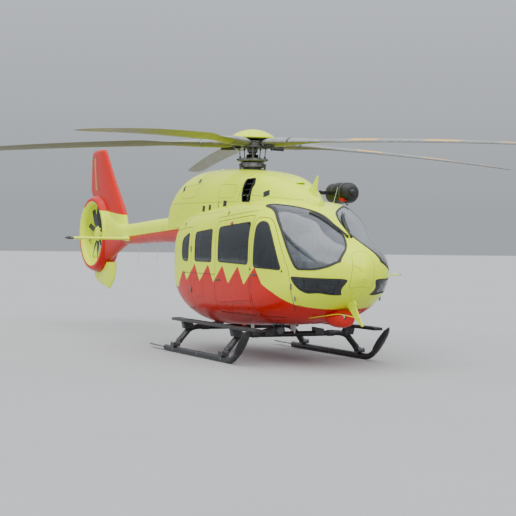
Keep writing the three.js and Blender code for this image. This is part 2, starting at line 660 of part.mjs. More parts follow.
function buildRotor() {
  const hubSolid = turned(
    [[0, 0], [MAST.radius, 0], [MAST.radius, HUB.bottom - MAST.foot], [HUB.radius, HUB.bottom - MAST.foot],
      [HUB.radius, HUB.top - MAST.foot], [70, HUB.top - MAST.foot], [70, CAP.z + 60 - MAST.foot], [0, CAP.z + 60 - MAST.foot]],
    [0, 0, MAST.foot],
    [0, 0, 1],
    20,
  );
  const blades = Array.from({ length: ROTOR.blades }, (_, k) => bladeSolid(k));
  const inHub = bar([0, 0, HUB.bottom - 50], [0, 0, HUB.top + 50], HUB.radius + TOUCH, 20);
  blades.forEach((blade, k) => place("blade_" + (k + 1), blade.subtract(inHub), "blade"));
  const cap = turned(
    [[70.6, 0], [CAP.radius - 20, -10], [CAP.radius, 0], [CAP.radius * 0.8, 62], [CAP.radius * 0.45, CAP.rise - 20],
      [0, CAP.rise], [0, CAP.rise - 22], [70.6, CAP.rise - 40], [70.6, 0]],
    [0, 0, CAP.z],
    [0, 0, 1],
    20,
  );
  place("rotor_cap", cap, "yellow");
  const links = Array.from({ length: ROTOR.blades }, (_, k) => {
    const angle = THREE.MathUtils.degToRad(ROTOR.firstBlade + 25 + (360 / ROTOR.blades) * k);
    const [s, c] = [Math.sin(angle), -Math.cos(angle)];
    return bar([205 * s, 205 * c, 3080], [225 * s, 225 * c, HUB.bottom + 5], 12, 6);
  });
  const plate = turned(
    [[0, 3045], [225, 3045], [240, 3065], [225, 3095], [0, 3095]],
    [0, 0, 0],
    [0, 0, 1],
    20,
  );
  place("rotor_head", joined(hubSolid, plate, ...links), "steel");
  place(
    "fixed_swashplate",
    turned(
      [[MAST.radius + 6, SWASHPLATE.bottom], [200, SWASHPLATE.bottom], [200, 2990], [190, 3034], [MAST.radius + 6, 3034], [MAST.radius + 6, SWASHPLATE.bottom]],
      [0, 0, 0],
      [0, 0, 1],
      20,
    ),
    "steel",
  );
}

// Cockpit and cabin fittings
const SEAT = { x: 380, y: -2060, width: 480, cushionZ: 1000 };

function seatSolid(x, y, width, cushionZ, backTop, facing = 1) {
  // A pan with a raised back; facing 1 looks toward the nose.
  const across = (depth, z0, z1, lean = 0) =>
    acrossBody(
      [[y, z0], [y - facing * depth, z0 + 20], [y - facing * depth, z1 + 20], [y + facing * lean, z1]],
      x - width / 2,
      x + width / 2,
    );
  const pan = across(460, cushionZ - 120, cushionZ);
  const back = acrossBody(
    [[y - facing * 30, cushionZ - 120], [y + facing * 60, cushionZ - 120], [y + facing * 170, backTop], [y + facing * 75, backTop]],
    x - width / 2,
    x + width / 2,
  );
  const base = block(x - width * 0.32, x + width * 0.32, y - 230 - facing * 190, y - 230 + 190 + 230, FLOOR_Z + TOUCH, cushionZ - 100);
  return joined(pan, back, base);
}

function buildFittings() {
  const room = fuselageSolid(WALL + 4);
  for (const { side, sign } of SIDES) {
    place("pilot_seat_" + side, seatSolid(sign * SEAT.x, SEAT.y, SEAT.width, SEAT.cushionZ, 1820).intersect(room), "trim");
  }
  // The panel stands on its console between the pilots' feet.
  const console = acrossBody(
    [[-2230, FLOOR_Z + TOUCH], [-3080, FLOOR_Z + TOUCH], [-3080, 1180], [-2860, 1200], [-2760, 900], [-2230, 880]],
    -110,
    110,
  );
  const panel = acrossBody([[-2850, 1090], [-3060, 1180], [-3060, 1440], [-2960, 1450], [-2850, 1400]], -430, 430);
  place("instrument_panel", joined(console, panel).intersect(fuselageSolid(WALL + 0.8)), "trim");
  const bench = joined(
    ...[-560, 0, 560].map((x) => seatSolid(x, 230, 460, 1010, 1720)),
    block(-700, 700, 60, 200, 900, 960),
  );
  place("cabin_seats", bench.intersect(room), "trim");
  const stretcher = joined(
    block(60, 620, -1700, -350, 960, 1010),
    block(90, 590, -1660, -390, 1009, 1070),
    block(100, 200, -1500, -1380, FLOOR_Z + TOUCH, 961),
    block(480, 580, -1500, -1380, FLOOR_Z + TOUCH, 961),
    block(100, 580, -700, -580, FLOOR_Z + TOUCH, 961),
  );
  place("stretcher", stretcher, "trim");
}

// Rescue hoist: an arm that swings about an upright post on the left of the fairing
const HOIST = { post: [800, -640], foot: 2330, top: 2560 };

function buildHoist() {
  const [x, y] = HOIST.post;
  const fairing = cowlSolid(-TOUCH);
  const bracket = joined(
    block(300, x + 50, y - 70, y + 70, 2420, 2460),
    bar([x, y, 2380], [x, y, 2460], 48, 12),
  ).subtract(fairing).subtract(fuselageSolid(-TOUCH));
  place("hoist_bracket", bracket, "black");
  const arm = joined(
    bar([x, y, 2460 + TOUCH], [x, y, 2590], 46, 12),
    block(x - 40, x + 560, y - 45, y + 45, 2530, 2588),
  );
  const drum = loft(
    [[-330, 60], [-290, 120], [-180, 150], [180, 150], [290, 120], [330, 60]].map(([along, radius]) =>
      Array.from({ length: 14 }, (_, k) => {
        const angle = (2 * Math.PI * (k + 0.5)) / 14;
        return [x + 430 + radius * 1.15 * Math.cos(angle), y - 30 + along, 2570 + radius * 0.95 * Math.sin(angle)];
      }),
    ),
  );
  const cable = bar([x + 430, y + 120, 2460], [x + 430, y + 120, 2350], 9, 6);
  const weight = bar([x + 430, y + 120, 2390], [x + 430, y + 120, 2350], 38, 8);
  place("hoist", joined(arm, drum, cable, weight), "black");
}

// Belly and nose equipment
function buildEquipment() {
  const body = fuselageSolid(-TOUCH);
  const light = joined(bar([-390, -1730, 640], [-390, -1730, 480], 22, 10), bar([-390, -1680, 478], [-390, -1820, 478], 64, 16));
  place("searchlight", light.subtract(body), "black");
  const pod = loft(
    [[-3100, 40], [-3070, 110], [-2960, 150], [-2760, 150], [-2660, 110], [-2620, 50]].map(([y, radius]) =>
      Array.from({ length: 14 }, (_, k) => {
        const angle = (2 * Math.PI * (k + 0.5)) / 14;
        return [radius * 1.1 * Math.cos(angle), y, 720 + radius * 0.9 * Math.sin(angle)];
      }),
    ),
  );
  place("camera_pod", pod.subtract(body), "red");
  const blade = (outline) => acrossBody(outline, -14, 14);
  place("lower_wire_cutter", blade([[-2960, 960], [-3180, 1010], [-3500, 640], [-3470, 630]]).subtract(body), "yellow");
  const cowl = cowlSolid(-TOUCH);
  place("upper_wire_cutter", blade([[-1850, 2500], [-2110, 2400], [-2165, 2745], [-2140, 2750], [-1960, 2580]]).subtract(body).subtract(cowl), "yellow");
}

buildCabin();
buildFittings();
buildHoist();
buildEquipment();
buildRoof();
buildTail();
buildTailFan();
buildSkids();
buildRotor();

const machine = new THREE.Group();
const bounds = new THREE.Box3().setFromObject(helicopter);
const middle = bounds.getCenter(new THREE.Vector3());
helicopter.position.set(-middle.x, -middle.y, -bounds.min.z);
machine.add(helicopter);
export default machine;
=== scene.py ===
"""Looks of a light twin-engine helicopter on skids, built round its CAD frame.

Shapes are worked out in millimetres from the mast axis and the ground, as the CAD does:
+Z is up, the nose points along -Y and the right-hand side of the aircraft is -X.
"""
import json
import math

import bpy
import numpy as np
from mathutils import Matrix, Vector

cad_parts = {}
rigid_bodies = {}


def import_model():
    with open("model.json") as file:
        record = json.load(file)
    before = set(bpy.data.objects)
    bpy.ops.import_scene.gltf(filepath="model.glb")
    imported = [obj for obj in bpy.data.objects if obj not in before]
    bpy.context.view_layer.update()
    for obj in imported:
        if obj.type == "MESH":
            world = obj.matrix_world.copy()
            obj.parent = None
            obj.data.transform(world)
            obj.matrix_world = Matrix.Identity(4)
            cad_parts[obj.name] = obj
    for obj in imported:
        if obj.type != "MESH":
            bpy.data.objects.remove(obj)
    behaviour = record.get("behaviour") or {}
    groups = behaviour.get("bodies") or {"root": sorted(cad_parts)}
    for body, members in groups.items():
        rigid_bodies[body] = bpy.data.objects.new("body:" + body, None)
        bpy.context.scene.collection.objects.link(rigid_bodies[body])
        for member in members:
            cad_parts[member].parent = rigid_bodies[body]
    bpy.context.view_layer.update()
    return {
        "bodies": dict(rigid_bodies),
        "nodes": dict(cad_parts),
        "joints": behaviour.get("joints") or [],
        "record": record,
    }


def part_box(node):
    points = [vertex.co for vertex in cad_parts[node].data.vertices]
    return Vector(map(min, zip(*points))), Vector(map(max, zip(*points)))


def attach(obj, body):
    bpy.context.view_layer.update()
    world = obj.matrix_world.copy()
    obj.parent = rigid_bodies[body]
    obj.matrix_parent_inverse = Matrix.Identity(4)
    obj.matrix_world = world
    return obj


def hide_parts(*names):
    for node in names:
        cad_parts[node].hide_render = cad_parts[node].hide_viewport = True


bl_info = {
    "name": "Helicopter Looks",
    "version": (1, 0, 0),
    "blender": (4, 5, 0),
    "location": "3D View > Sidebar > Helicopter",
    "description": "Skins, fittings and finishes of a light helicopter, round its CAD frame",
    "category": "Add Mesh",
}

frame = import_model()
CAP_LOW, CAP_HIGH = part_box("rotor_cap")
MAST_AXIS = np.array([(CAP_LOW.x + CAP_HIGH.x) / 2, (CAP_LOW.y + CAP_HIGH.y) / 2, 0.0])
SIDES = (("right", -1), ("left", 1))

# Sizes shared with the CAD
SEAM = 8
WALL = 34
GLASS = 9
COWL_WALL = 22
FLOOR_Z = 640
FIRST_BLADE = -50.27  # degrees from the nose
ROTOR_RADIUS = 5400
BLADE_Z, BLADE_DROOP = 3340, 216  # height at the hub and what the tip hangs below it
STABILISER_Y, STABILISER_Z, STABILISER_CHORD = 5240, 1775, 430
FAN_Y, FAN_Z = 7075, 1865  # centre of the tail fan
SKID_X = 1160
CROSSINGS = (("front", -1480), ("rear", 300))  # y of each cross tube

# Sizes of the looks alone
SEAM_STRIP = (5, -1.5, 0.7)  # a panel seam's width, and its start and end above the skin
DOOR_GAP = (7, -26, -4)  # the same for the rubber in the gap round a door
EDGE_STRIP = 1400  # where a blade's edge strip starts
PANE_GAP = 0.4
WINDOW_START, DOOR_START = 400, 560  # half widths from which windows and doors are cut
END_CAP = 14  # length of a skin's ends that counts as outside
UNDER_FLOOR = 45  # least depth under the skin of what stands inside
PAD_CAP = 0.018  # how far a cushion may swell, in metres

# The camera: yaw, pitch and roll in radians, and its stand in metres from the mast axis
CAMERA_TURN = (0.4656, -0.0151, 0.016)
CAMERA_STAND = (-9.4985, -19.1607, 1.8301)

# y, half width, bottom z, z of the widest line, top z, roundness above and below that line
FUSELAGE = np.array([
    [-3520, 25, 1300, 1380, 1440, 2.0, 2.0],
    [-3490, 130, 1260, 1400, 1510, 2.1, 2.1],
    [-3440, 260, 1200, 1410, 1590, 2.2, 2.2],
    [-3360, 430, 1110, 1410, 1680, 2.2, 2.2],
    [-3220, 565, 1005, 1390, 1775, 2.2, 2.3],
    [-3050, 665, 900, 1350, 1870, 2.3, 2.4],
    [-2800, 765, 770, 1300, 2010, 2.4, 2.5],
    [-2500, 845, 665, 1240, 2180, 2.7, 2.6],
    [-2150, 895, 600, 1200, 2320, 3.4, 2.8],
    [-1800, 920, 560, 1190, 2385, 4.4, 3.0],
    [-1300, 932, 520, 1190, 2390, 5.0, 3.0],
    [-500, 935, 470, 1190, 2360, 5.0, 3.0],
    [250, 925, 448, 1200, 2300, 5.0, 3.0],
    [690, 905, 510, 1220, 2260, 4.6, 2.9],
    [1020, 860, 620, 1260, 2230, 4.0, 2.8],
    [1300, 770, 800, 1350, 2210, 3.4, 2.7],
    [1540, 620, 1060, 1500, 2190, 2.9, 2.6],
    [1720, 430, 1350, 1650, 2180, 2.6, 2.5],
    [1805, 230, 1560, 1800, 2150, 2.4, 2.4],
    [1830, 30, 1800, 1900, 2000, 2.0, 2.0],
])
# y, half width, bottom z, z of the widest line, top z, roundness above and below that line
COWL_FOOT = 1980
COWL = np.array([
    [y, w, COWL_FOOT - 20, COWL_FOOT, top, n, n]
    for y, w, top, n in (
        (-2230, 40, 2370, 2.2), (-2100, 210, 2450, 2.4), (-1700, 400, 2620, 2.8),
        (-1250, 530, 2770, 3.2), (-700, 630, 2860, 3.4), (0, 690, 2920, 3.6),
        (700, 715, 2935, 3.6), (1200, 715, 2892, 3.5), (1550, 704, 2792, 3.3),
        (1790, 684, 2634, 3.0), (1910, 610, 2486, 2.8), (1968, 420, 2360, 2.6),
    )
])
# y, half width, half height, middle z
BOOM = np.array([
    [1500, 300, 285, 1950], [2400, 245, 245, 1960], [3600, 195, 220, 1935],
    [4700, 155, 205, 1885], [5480, 125, 195, 1855],
])

# Side-view outlines, as y and z
FRONT_DOOR = [
    (-1862, 700), (-1862, 2080), (-1915, 2125), (-2120, 2118), (-2250, 2030), (-2400, 1860),
    (-2560, 1660), (-2740, 1400), (-2790, 1200), (-2740, 960), (-2560, 740), (-2480, 700),
]
FRONT_DOOR_WINDOW = [
    (-1912, 1440), (-1912, 2000), (-1960, 2062), (-2060, 2072), (-2150, 2030), (-2290, 1870),
    (-2440, 1662), (-2590, 1410), (-2570, 1385), (-1945, 1405),
]
SLIDING_DOOR = [(-1798, 700), (-1798, 2160), (-660, 2060), (-660, 700)]
SLIDING_DOOR_WINDOW = [
    (-1755, 1480), (-1755, 2030), (-1725, 2060), (-790, 1985), (-755, 1950), (-755, 1490), (-785, 1460),
    (-1725, 1440),
]
SIDE_WINDOW = [
    (-520, 1480), (-520, 1925), (-490, 1955), (90, 1905), (125, 1870), (125, 1480), (95, 1450), (-490, 1450),
]
REAR_DOOR_WINDOW = [
    (390, 1480), (370, 1870), (410, 1890), (620, 1810), (680, 1740), (680, 1560), (640, 1460), (430, 1440),
]
REAR_DOOR = [
    (270, 700), (270, 1960), (330, 1985), (760, 1955), (1180, 1900), (1560, 1700), (1700, 1672), (2400, 1672),
    (2400, 700),
]
WINDSCREEN = [
    (-1800, 3000), (-1800, 2300), (-2000, 2262), (-2130, 2190), (-2420, 1936), (-2660, 1666), (-2860, 1430),
    (-2920, 1395), (-3200, 1400), (-3350, 1455), (-3410, 1535), (-3700, 1600), (-3700, 3000),
]
# The inner edge of the right windscreen seen from above, as x and y
WINDSCREEN_EDGE = [
    (-1500, -1700), (-640, -1810), (-530, -2000), (-400, -2150), (-250, -2310), (-130, -2450), (-64, -2640),
    (-55, -2900), (-60, -3040), (-100, -3170), (-150, -3275), (-220, -3360), (-346, -3412), (-460, -3440),
    (-1500, -3440),
]
CHIN_WINDOW = [
    (-2790, 1300), (-2852, 1195), (-2930, 1110), (-3000, 1070), (-3140, 1086), (-3210, 1060), (-3262, 1058),
    (-3400, 1212), (-3440, 1285),
]
CHIN_GAP = 190


# Curves and outlines
def smooth_rows(table, per_row):
    """Rows of the smooth curve that passes through each row of a table."""
    table = np.asarray(table, float)
    last = len(table) - 1
    u = np.linspace(0, last, last * per_row + 1)
    i = np.minimum(np.floor(u).astype(int), last - 1)
    t = (u - i)[:, None]
    a, b, c, d = (table[np.clip(i + k, 0, last)] for k in (-1, 0, 1, 2))
    before, after = (c - a) / 2, (d - b) / 2
    return (
        (2 * t**3 - 3 * t**2 + 1) * b
        + (t**3 - 2 * t**2 + t) * before
        + (3 * t**2 - 2 * t**3) * c
        + (t**3 - t**2) * after
    )


def grown(outline, grow):
    """Moves each side of an outline outwards."""
    points = np.asarray(outline, float)
    after = np.roll(points, -1, 0)
    turn = np.sign((points[:, 0] * after[:, 1] - points[:, 1] * after[:, 0]).sum())
    along = after - points
    along /= np.linalg.norm(along, axis=1)[:, None]
    normal = turn * np.stack([along[:, 1], -along[:, 0]], 1)
    reach = (normal * points).sum(1) + grow
    p, q = np.roll(normal, 1, 0), normal
    pr, qr = np.roll(reach, 1), reach
    det = p[:, 0] * q[:, 1] - p[:, 1] * q[:, 0]
    return np.stack([(pr * q[:, 1] - qr * p[:, 1]) / det, (p[:, 0] * qr - q[:, 0] * pr) / det], 1)


def rounded(outline, radius, steps=6, closed=True):
    """Rounds the corners of an outline of 2 or 3 coordinates."""
    points = np.asarray(outline, float)
    count = len(points)
    made = []
    for i, corner in enumerate(points):
        if not closed and i in (0, count - 1):
            made.append(corner)
            continue
        before, after = points[i - 1] - corner, points[(i + 1) % count] - corner
        near, far = np.linalg.norm(before), np.linalg.norm(after)
        reach = min(radius, 0.48 * near, 0.48 * far)
        a, b = corner + before / near * reach, corner + after / far * reach
        for t in np.linspace(0, 1, steps + 1):
            made.append((1 - t) ** 2 * a + 2 * t * (1 - t) * corner + t**2 * b)
    return np.array(made)


def spaced(points, step, closed=True):
    """Points at even steps along a line."""
    points = np.asarray(points, float)
    if closed:
        points = np.vstack([points, points[:1]])
    lengths = np.concatenate([[0], np.cumsum(np.linalg.norm(np.diff(points, axis=0), axis=1))])
    count = max(4, int(lengths[-1] / step))
    at = np.linspace(0, lengths[-1], count + 1)
    if closed:
        at = at[:-1]
    return np.stack([np.interp(at, lengths, points[:, k]) for k in range(points.shape[1])], 1)


def section(angle, y, width, low, wide, high, upper, lower):
    """Points round a rounded section, at angles from its left."""
    cos, sin = np.cos(angle), np.sin(angle)
    power = 2 / np.where(sin > 0, upper, lower)
    height = np.where(sin > 0, high - wide, wide - low)
    x = width * np.sign(cos) * np.abs(cos) ** power
    z = wide + height * np.sign(sin) * np.abs(sin) ** power
    return np.stack([x, np.full(len(angle), float(y)), z], 1)


class Skin:
    """A surface of rounded sections along the aircraft."""

    least = 4

    def __init__(self, table):
        self.table = table
        self.fine = smooth_rows(table, 60)

    def row(self, y):
        return [np.interp(y, self.fine[:, 0], self.fine[:, k]) for k in range(1, 7)]

    def quarter(self, y, z):
        """The section's half width, widest line, height from it and roundness, above or below that line."""
        width, low, wide, high, upper, lower = self.row(y)
        up = z >= wide
        return width, wide, np.where(up, high - wide, wide - low), np.where(up, upper, lower)

    def value(self, points, inset=0.0):
        """Below 0 inside the surface moved in by inset, above 0 outside it."""
        x, y, z = points.T
        width, wide, height, power = self.quarter(y, z)
        sideways = (np.abs(x) / np.maximum(width - inset, 4)) ** power
        return sideways + (np.abs(z - wide) / np.maximum(height - inset, 4)) ** power - 1

    def normal(self, points):
        grad = np.stack(
            [self.value(points + step) - self.value(points - step) for step in np.eye(3)], 1
        )
        return grad / np.maximum(np.linalg.norm(grad, axis=1), 1e-9)[:, None]

    def half_width(self, y, z):
        width, wide, height, power = self.quarter(np.asarray(y, float), z)
        share = np.clip(1 - (np.abs(z - wide) / height) ** power, 1e-6, 1)
        return width * share ** (1 / power)

    def side(self, y, z):
        """The half width at one point, as a plain number."""
        return float(self.half_width(np.array([float(y)]), np.array([float(z)]))[0])

    def top(self, x, y):
        """Height of the surface over a point of the ground plan."""
        width, _, wide, high, upper, _ = self.row(np.array([float(y)]))
        share = np.clip(1 - (np.abs(np.array([float(x)])) / width) ** upper, 1e-6, 1)
        return float((wide + (high - wide) * share ** (1 / upper))[0])

    def angles(self, segments):
        return 2 * np.pi * (np.arange(segments) + 0.5) / segments

    def solid(self, inset, per_row, segments):
        """The room inside the surface moved in by inset."""
        rows = smooth_rows(self.table, per_row)
        nose, tail = rows[0, 0], rows[-1, 0]
        middle = (nose + tail) / 2
        shrink = (tail - nose - 2 * inset) / (tail - nose)
        angle = self.angles(segments)
        least = self.least
        rings = []
        for y, width, low, wide, high, upper, lower in rows:
            shrunk = (max(width - inset, least), wide - max(wide - low - inset, least), wide,
                      wide + max(high - inset - wide, least), upper, lower)
            rings.append(section(angle, middle + (y - middle) * shrink, *shrunk))
        return Shape().loft(rings).mesh("skin_solid")


class CowlSkin(Skin):
    """The roof fairing: half sections that stand on the roof."""

    least = 6

    def angles(self, segments):
        return np.pi * np.arange(segments + 1) / segments


# Mesh making
def unit(vector):
    vector = np.asarray(vector, float)
    return vector / np.linalg.norm(vector)


def directions(points, closed):
    """Unit vectors along a line at each of its points."""
    along = np.roll(points, -1, 0) - np.roll(points, 1, 0) if closed else np.gradient(points, axis=0)
    return along / np.linalg.norm(along, axis=1)[:, None]


class Shape:
    """Closed forms gathered into one mesh, each with a paint number."""

    def __init__(self):
        self.points = []
        self.faces = []
        self.paints = []
        self.count = 0

    def add(self, points, faces, paint=0):
        points = np.asarray(points, float)
        triangles = np.array([(f[0], f[k], f[k + 1]) for f in faces for k in range(1, len(f) - 1)])
        a, b, c = (points[triangles[:, k]] - points.mean(0) for k in range(3))
        if np.einsum("ij,ij->i", a, np.cross(b, c)).sum() < 0:
            faces = [tuple(reversed(f)) for f in faces]
        self.points.append(points)
        self.faces += [tuple(i + self.count for i in f) for f in faces]
        self.paints += [paint] * len(faces)
        self.count += len(points)
        return self

    def loft(self, rings, paint=0, joined=False):
        """Skins rings of points. The ends are capped, or joined to each other."""
        rings = [np.asarray(r, float) for r in rings]
        size, total = len(rings[0]), len(rings)
        faces = []
        for r in range(total if joined else total - 1):
            a, b = r * size, ((r + 1) % total) * size
            faces += [(a + k, a + (k + 1) % size, b + (k + 1) % size, b + k) for k in range(size)]
        if not joined:
            faces += [tuple(range(size))[::-1], tuple((total - 1) * size + k for k in range(size))]
        return self.add(np.vstack(rings), faces, paint)

    def block(self, x0, x1, y0, y1, z0, z1, paint=0):
        ring = lambda z: [(x0, y0, z), (x1, y0, z), (x1, y1, z), (x0, y1, z)]
        return self.loft([ring(z0), ring(z1)], paint)

    def prism(self, outline, axis, a, b, paint=0):
        """An outline run along an axis: y,z along x; x,z along y; or x,y along z."""
        outline = np.asarray(outline, float)
        return self.loft([np.insert(outline, axis, level, 1) for level in (a, b)], paint)

    def turned(self, profile, point=(0, 0, 0), toward=(0, 0, 1), sides=48, paint=0):
        """A profile of radius and distance, turned about an axis. Its ends lie on the axis or meet."""
        toward = unit(toward)
        level = unit(np.cross(toward, (0.31, 0.17, 0.93) if abs(toward[2]) < 0.9 else (1, 0, 0)))
        other = np.cross(toward, level)
        angle = 2 * np.pi * np.arange(sides) / sides
        around = np.cos(angle)[:, None] * level + np.sin(angle)[:, None] * other
        points, starts = [], []
        for radius, along in profile:
            centre = np.asarray(point, float) + toward * along
            starts.append((len(points), radius > 1e-6))
            points += list(centre + around * radius) if radius > 1e-6 else [centre]
        faces = []
        count = len(profile)
        for i in range(count if profile[0][0] and profile[-1][0] else count - 1):
            (a, wide_a), (b, wide_b) = starts[i], starts[(i + 1) % count]
            for k in range(sides):
                n = (k + 1) % sides
                if wide_a and wide_b:
                    faces.append((a + k, a + n, b + n, b + k))
                elif wide_a:
                    faces.append((a + k, a + n, b))
                elif wide_b:
                    faces.append((a, b + n, b + k))
        return self.add(points, faces, paint)

    def tube(self, path, radius, sides=16, paint=0, closed=False, flat=1.0):
        """A round bar along a path. radius is one number or one for each point."""
        path = np.asarray(path, float)
        count = len(path)
        radii = np.broadcast_to(radius, count)
        tangents = directions(path, closed)
        start = (0, 0, 1) if abs(tangents[0][2]) < 0.9 else (1, 0, 0)
        level = unit(np.cross(tangents[0], start))
        angle = 2 * np.pi * np.arange(sides) / sides
        rings = []
        for point, along, reach in zip(path, tangents, radii):
            level = unit(level - along * (level @ along))
            upward = np.cross(along, level)
            rings.append(
                point + reach * (np.cos(angle)[:, None] * level + flat * np.sin(angle)[:, None] * upward)
            )
        return self.loft(rings, paint, joined=closed)

    def rod(self, a, b, radius, sides=20, paint=0):
        length = np.linalg.norm(np.subtract(b, a))
        profile = [(0, 0), (radius, 0), (radius, length), (0, length)]
        return self.turned(profile, a, np.subtract(b, a), sides, paint)

    def ball(self, centre, radius, squash=(1, 1, 1), paint=0, sides=24):
        arc = np.linspace(0, np.pi, sides // 2 + 1)
        profile = [(radius * math.sin(a) if 0 < a < np.pi else 0, -radius * math.cos(a)) for a in arc]
        self.turned(profile, sides=sides, paint=paint)
        self.points[-1] = self.points[-1] * np.array(squash) + np.array(centre, float)
        return self

    def ribbon(self, skin, line, sign, width, low, high, paint=0, step=16, closed=False):
        """A strip that lies along a side-view line on the skin, from low to high above it."""
        y, z = spaced(line, step, closed).T
        points = np.stack([sign * skin.half_width(y, z), y, z], 1)
        return self.strip(points, skin.normal(points), width, low, high, paint, closed)

    def rim(self, *given, **more):
        """A ribbon whose ends meet."""
        return self.ribbon(*given, **more, closed=True)

    def seam(self, skin, sign, line, bend=0):
        """A panel seam; with a bend it is closed and has round corners."""
        return self.ribbon(skin, rounded(line, bend) if bend else line, sign, *SEAM_STRIP, closed=bend > 0)

    def strip(self, points, normals, width, low, high, paint=0, closed=False):
        sideways = np.cross(normals, directions(points, closed))
        sideways /= np.linalg.norm(sideways, axis=1)[:, None]
        half = width / 2
        edge = min(half * 0.5, (high - low) * 0.4)
        profile = [(-half, low), (half, low), (half, high - edge), (half - edge, high),
                   (edge - half, high), (-half, high - edge)]
        corners = np.array([points + sideways * a + normals * b for a, b in profile])
        return self.loft(list(corners.transpose(1, 0, 2)), paint, joined=closed)

    def pipe(self, points, bend, step, radius, sides=16, paint=0, flat=1.0):
        """A tube along a path with round corners."""
        return self.tube(arc_path(points, bend, step), radius, sides, paint, flat=flat)

    def ovals(self, start, along, side, upward, rows, count=28):
        """Skins ovals. Each row gives a distance along and the oval's two half sizes."""
        start, along, side, upward = (np.asarray(v, float) for v in (start, along, side, upward))
        angle = 2 * np.pi * np.arange(count)[:, None] / count
        cos, sin = np.cos(angle), np.sin(angle)
        return self.loft([start + along * t + side * (a * cos) + upward * (b * sin) for t, a, b in rows])

    def mast(self, x, half, bend, rows):
        """An upright blade. Each row gives its front, its back and the height."""
        plans = [(rounded(rect(x - half, x + half, front, back), bend, 3), z) for front, back, z in rows]
        return self.loft([[(a, b, z) for a, b in plan] for plan, z in plans])

    def kept_inside(self, skin):
        """Lifts what would stand through the floor of a skin."""
        points = np.concatenate(self.points)
        for _ in range(80):
            out = (skin.value(points, UNDER_FLOOR) > 0) & (points[:, 2] < 1500)
            points[out, 2] += 4
        self.points = [points]
        return self

    def mesh(self, name):
        made = bpy.data.meshes.new(name)
        points = np.vstack(self.points) / 1000 + MAST_AXIS
        made.from_pydata(points.tolist(), [], self.faces)
        made.polygons.foreach_set("material_index", self.paints)
        made.update()
        return made


BODY = Skin(FUSELAGE)
ROOF = CowlSkin(COWL)


def across(outline, a, b):
    """A side-view outline run across the aircraft."""
    return Shape().prism(outline, 0, a, b)


def rect(x0, x1, y0, y1):
    return [(x0, y0), (x1, y0), (x1, y1), (x0, y1)]


def as_mesh(made, name):
    return made.mesh(name) if isinstance(made, Shape) else made


def placed(name, data):
    """A new object in the scene."""
    made = bpy.data.objects.new(name, data)
    bpy.context.scene.collection.objects.link(made)
    return made


def plain_mesh(source, name):
    """The object's mesh with its modifiers applied; the object is removed."""
    graph = bpy.context.evaluated_depsgraph_get()
    made = bpy.data.meshes.new_from_object(source.evaluated_get(graph))
    made.name = name
    bpy.data.objects.remove(source)
    return made


def carve(made, *steps, name="carved"):
    """A mesh after a chain of boolean steps, each an operation letter and another mesh or shape."""
    words = {"-": "DIFFERENCE", "&": "INTERSECT", "+": "UNION"}
    base = placed(name, as_mesh(made, name))
    cutters = [placed("cutter", as_mesh(other, "cutter")) for _, other in steps]
    for (letter, _), cutter in zip(steps, cutters):
        modifier = base.modifiers.new("cut", "BOOLEAN")
        modifier.operation = words[letter]
        modifier.solver = "MANIFOLD"
        modifier.object = cutter
    made = plain_mesh(base, name)
    for cutter in cutters:
        bpy.data.objects.remove(cutter)
    if not len(made.polygons):
        raise RuntimeError(f"nothing is left of {name} after its cuts")
    return made


def raw_points(mesh):
    flat = np.empty(len(mesh.vertices) * 3)
    mesh.vertices.foreach_get("co", flat)
    return flat.reshape(-1, 3)


def mesh_points(mesh):
    """A mesh's vertices in millimetres off the mast axis and the ground."""
    return (raw_points(mesh) - MAST_AXIS) * 1000


def lining(mesh, skin, depth):
    """Gives the faces that lie deeper than depth under the skin the second finish."""
    middles = np.empty(len(mesh.polygons) * 3)
    mesh.polygons.foreach_get("center", middles)
    middles = (middles.reshape(-1, 3) - MAST_AXIS) * 1000
    first, last = skin.table[0, 0] + END_CAP, skin.table[-1, 0] - END_CAP
    deep = (skin.value(middles, depth) < 0) & (middles[:, 1] > first) & (middles[:, 1] < last)
    mesh.polygons.foreach_set("material_index", deep.astype(np.int32))


def fair(mesh, skin):
    """Shades a piece of the skin by the true surface, and leaves its cut edges crisp."""
    mesh.shade_smooth()
    points = mesh_points(mesh)
    true = skin.normal(points)
    corners = np.empty(len(mesh.loops), np.int32)
    mesh.loops.foreach_get("vertex_index", corners)
    totals = np.empty(len(mesh.polygons), np.int32)
    mesh.polygons.foreach_get("loop_total", totals)
    flat = np.empty(len(mesh.polygons) * 3)
    mesh.polygons.foreach_get("normal", flat)
    faces = np.repeat(flat.reshape(-1, 3), totals, axis=0)
    wanted = true[corners]
    match = (wanted * faces).sum(1)
    result = np.where((match > 0.85)[:, None], wanted, faces)
    result = np.where((match < -0.85)[:, None], -wanted, result)
    mesh.normals_split_custom_set(result.tolist())


# Slots for the finishes: a piece's slot would be its first finish's, unless it names another, but piece()
# keeps none
SLOTS = {
    "yellow_composite": "livery_paint yellow_paint",
    "yellow_metal": "seam_line",
    "red_composite": "red_paint",
    "black_alloy": "rubber black_paint skid_black",
    "dark_steel": "steel dark_metal burnt_steel",
    "trim_plastic": "dark_trim alloy",
    "bright_alloy": "white_paint",
    "blade_composite": "blade_skin",
    "tinted_glass": "tinted_glass windscreen_glass red_lamp clear_lamp",
    "seat_cloth": "seat_cloth pad_orange",
}
SLOT_OF = {finish: slot for slot, finishes in SLOTS.items() for finish in finishes.split()}


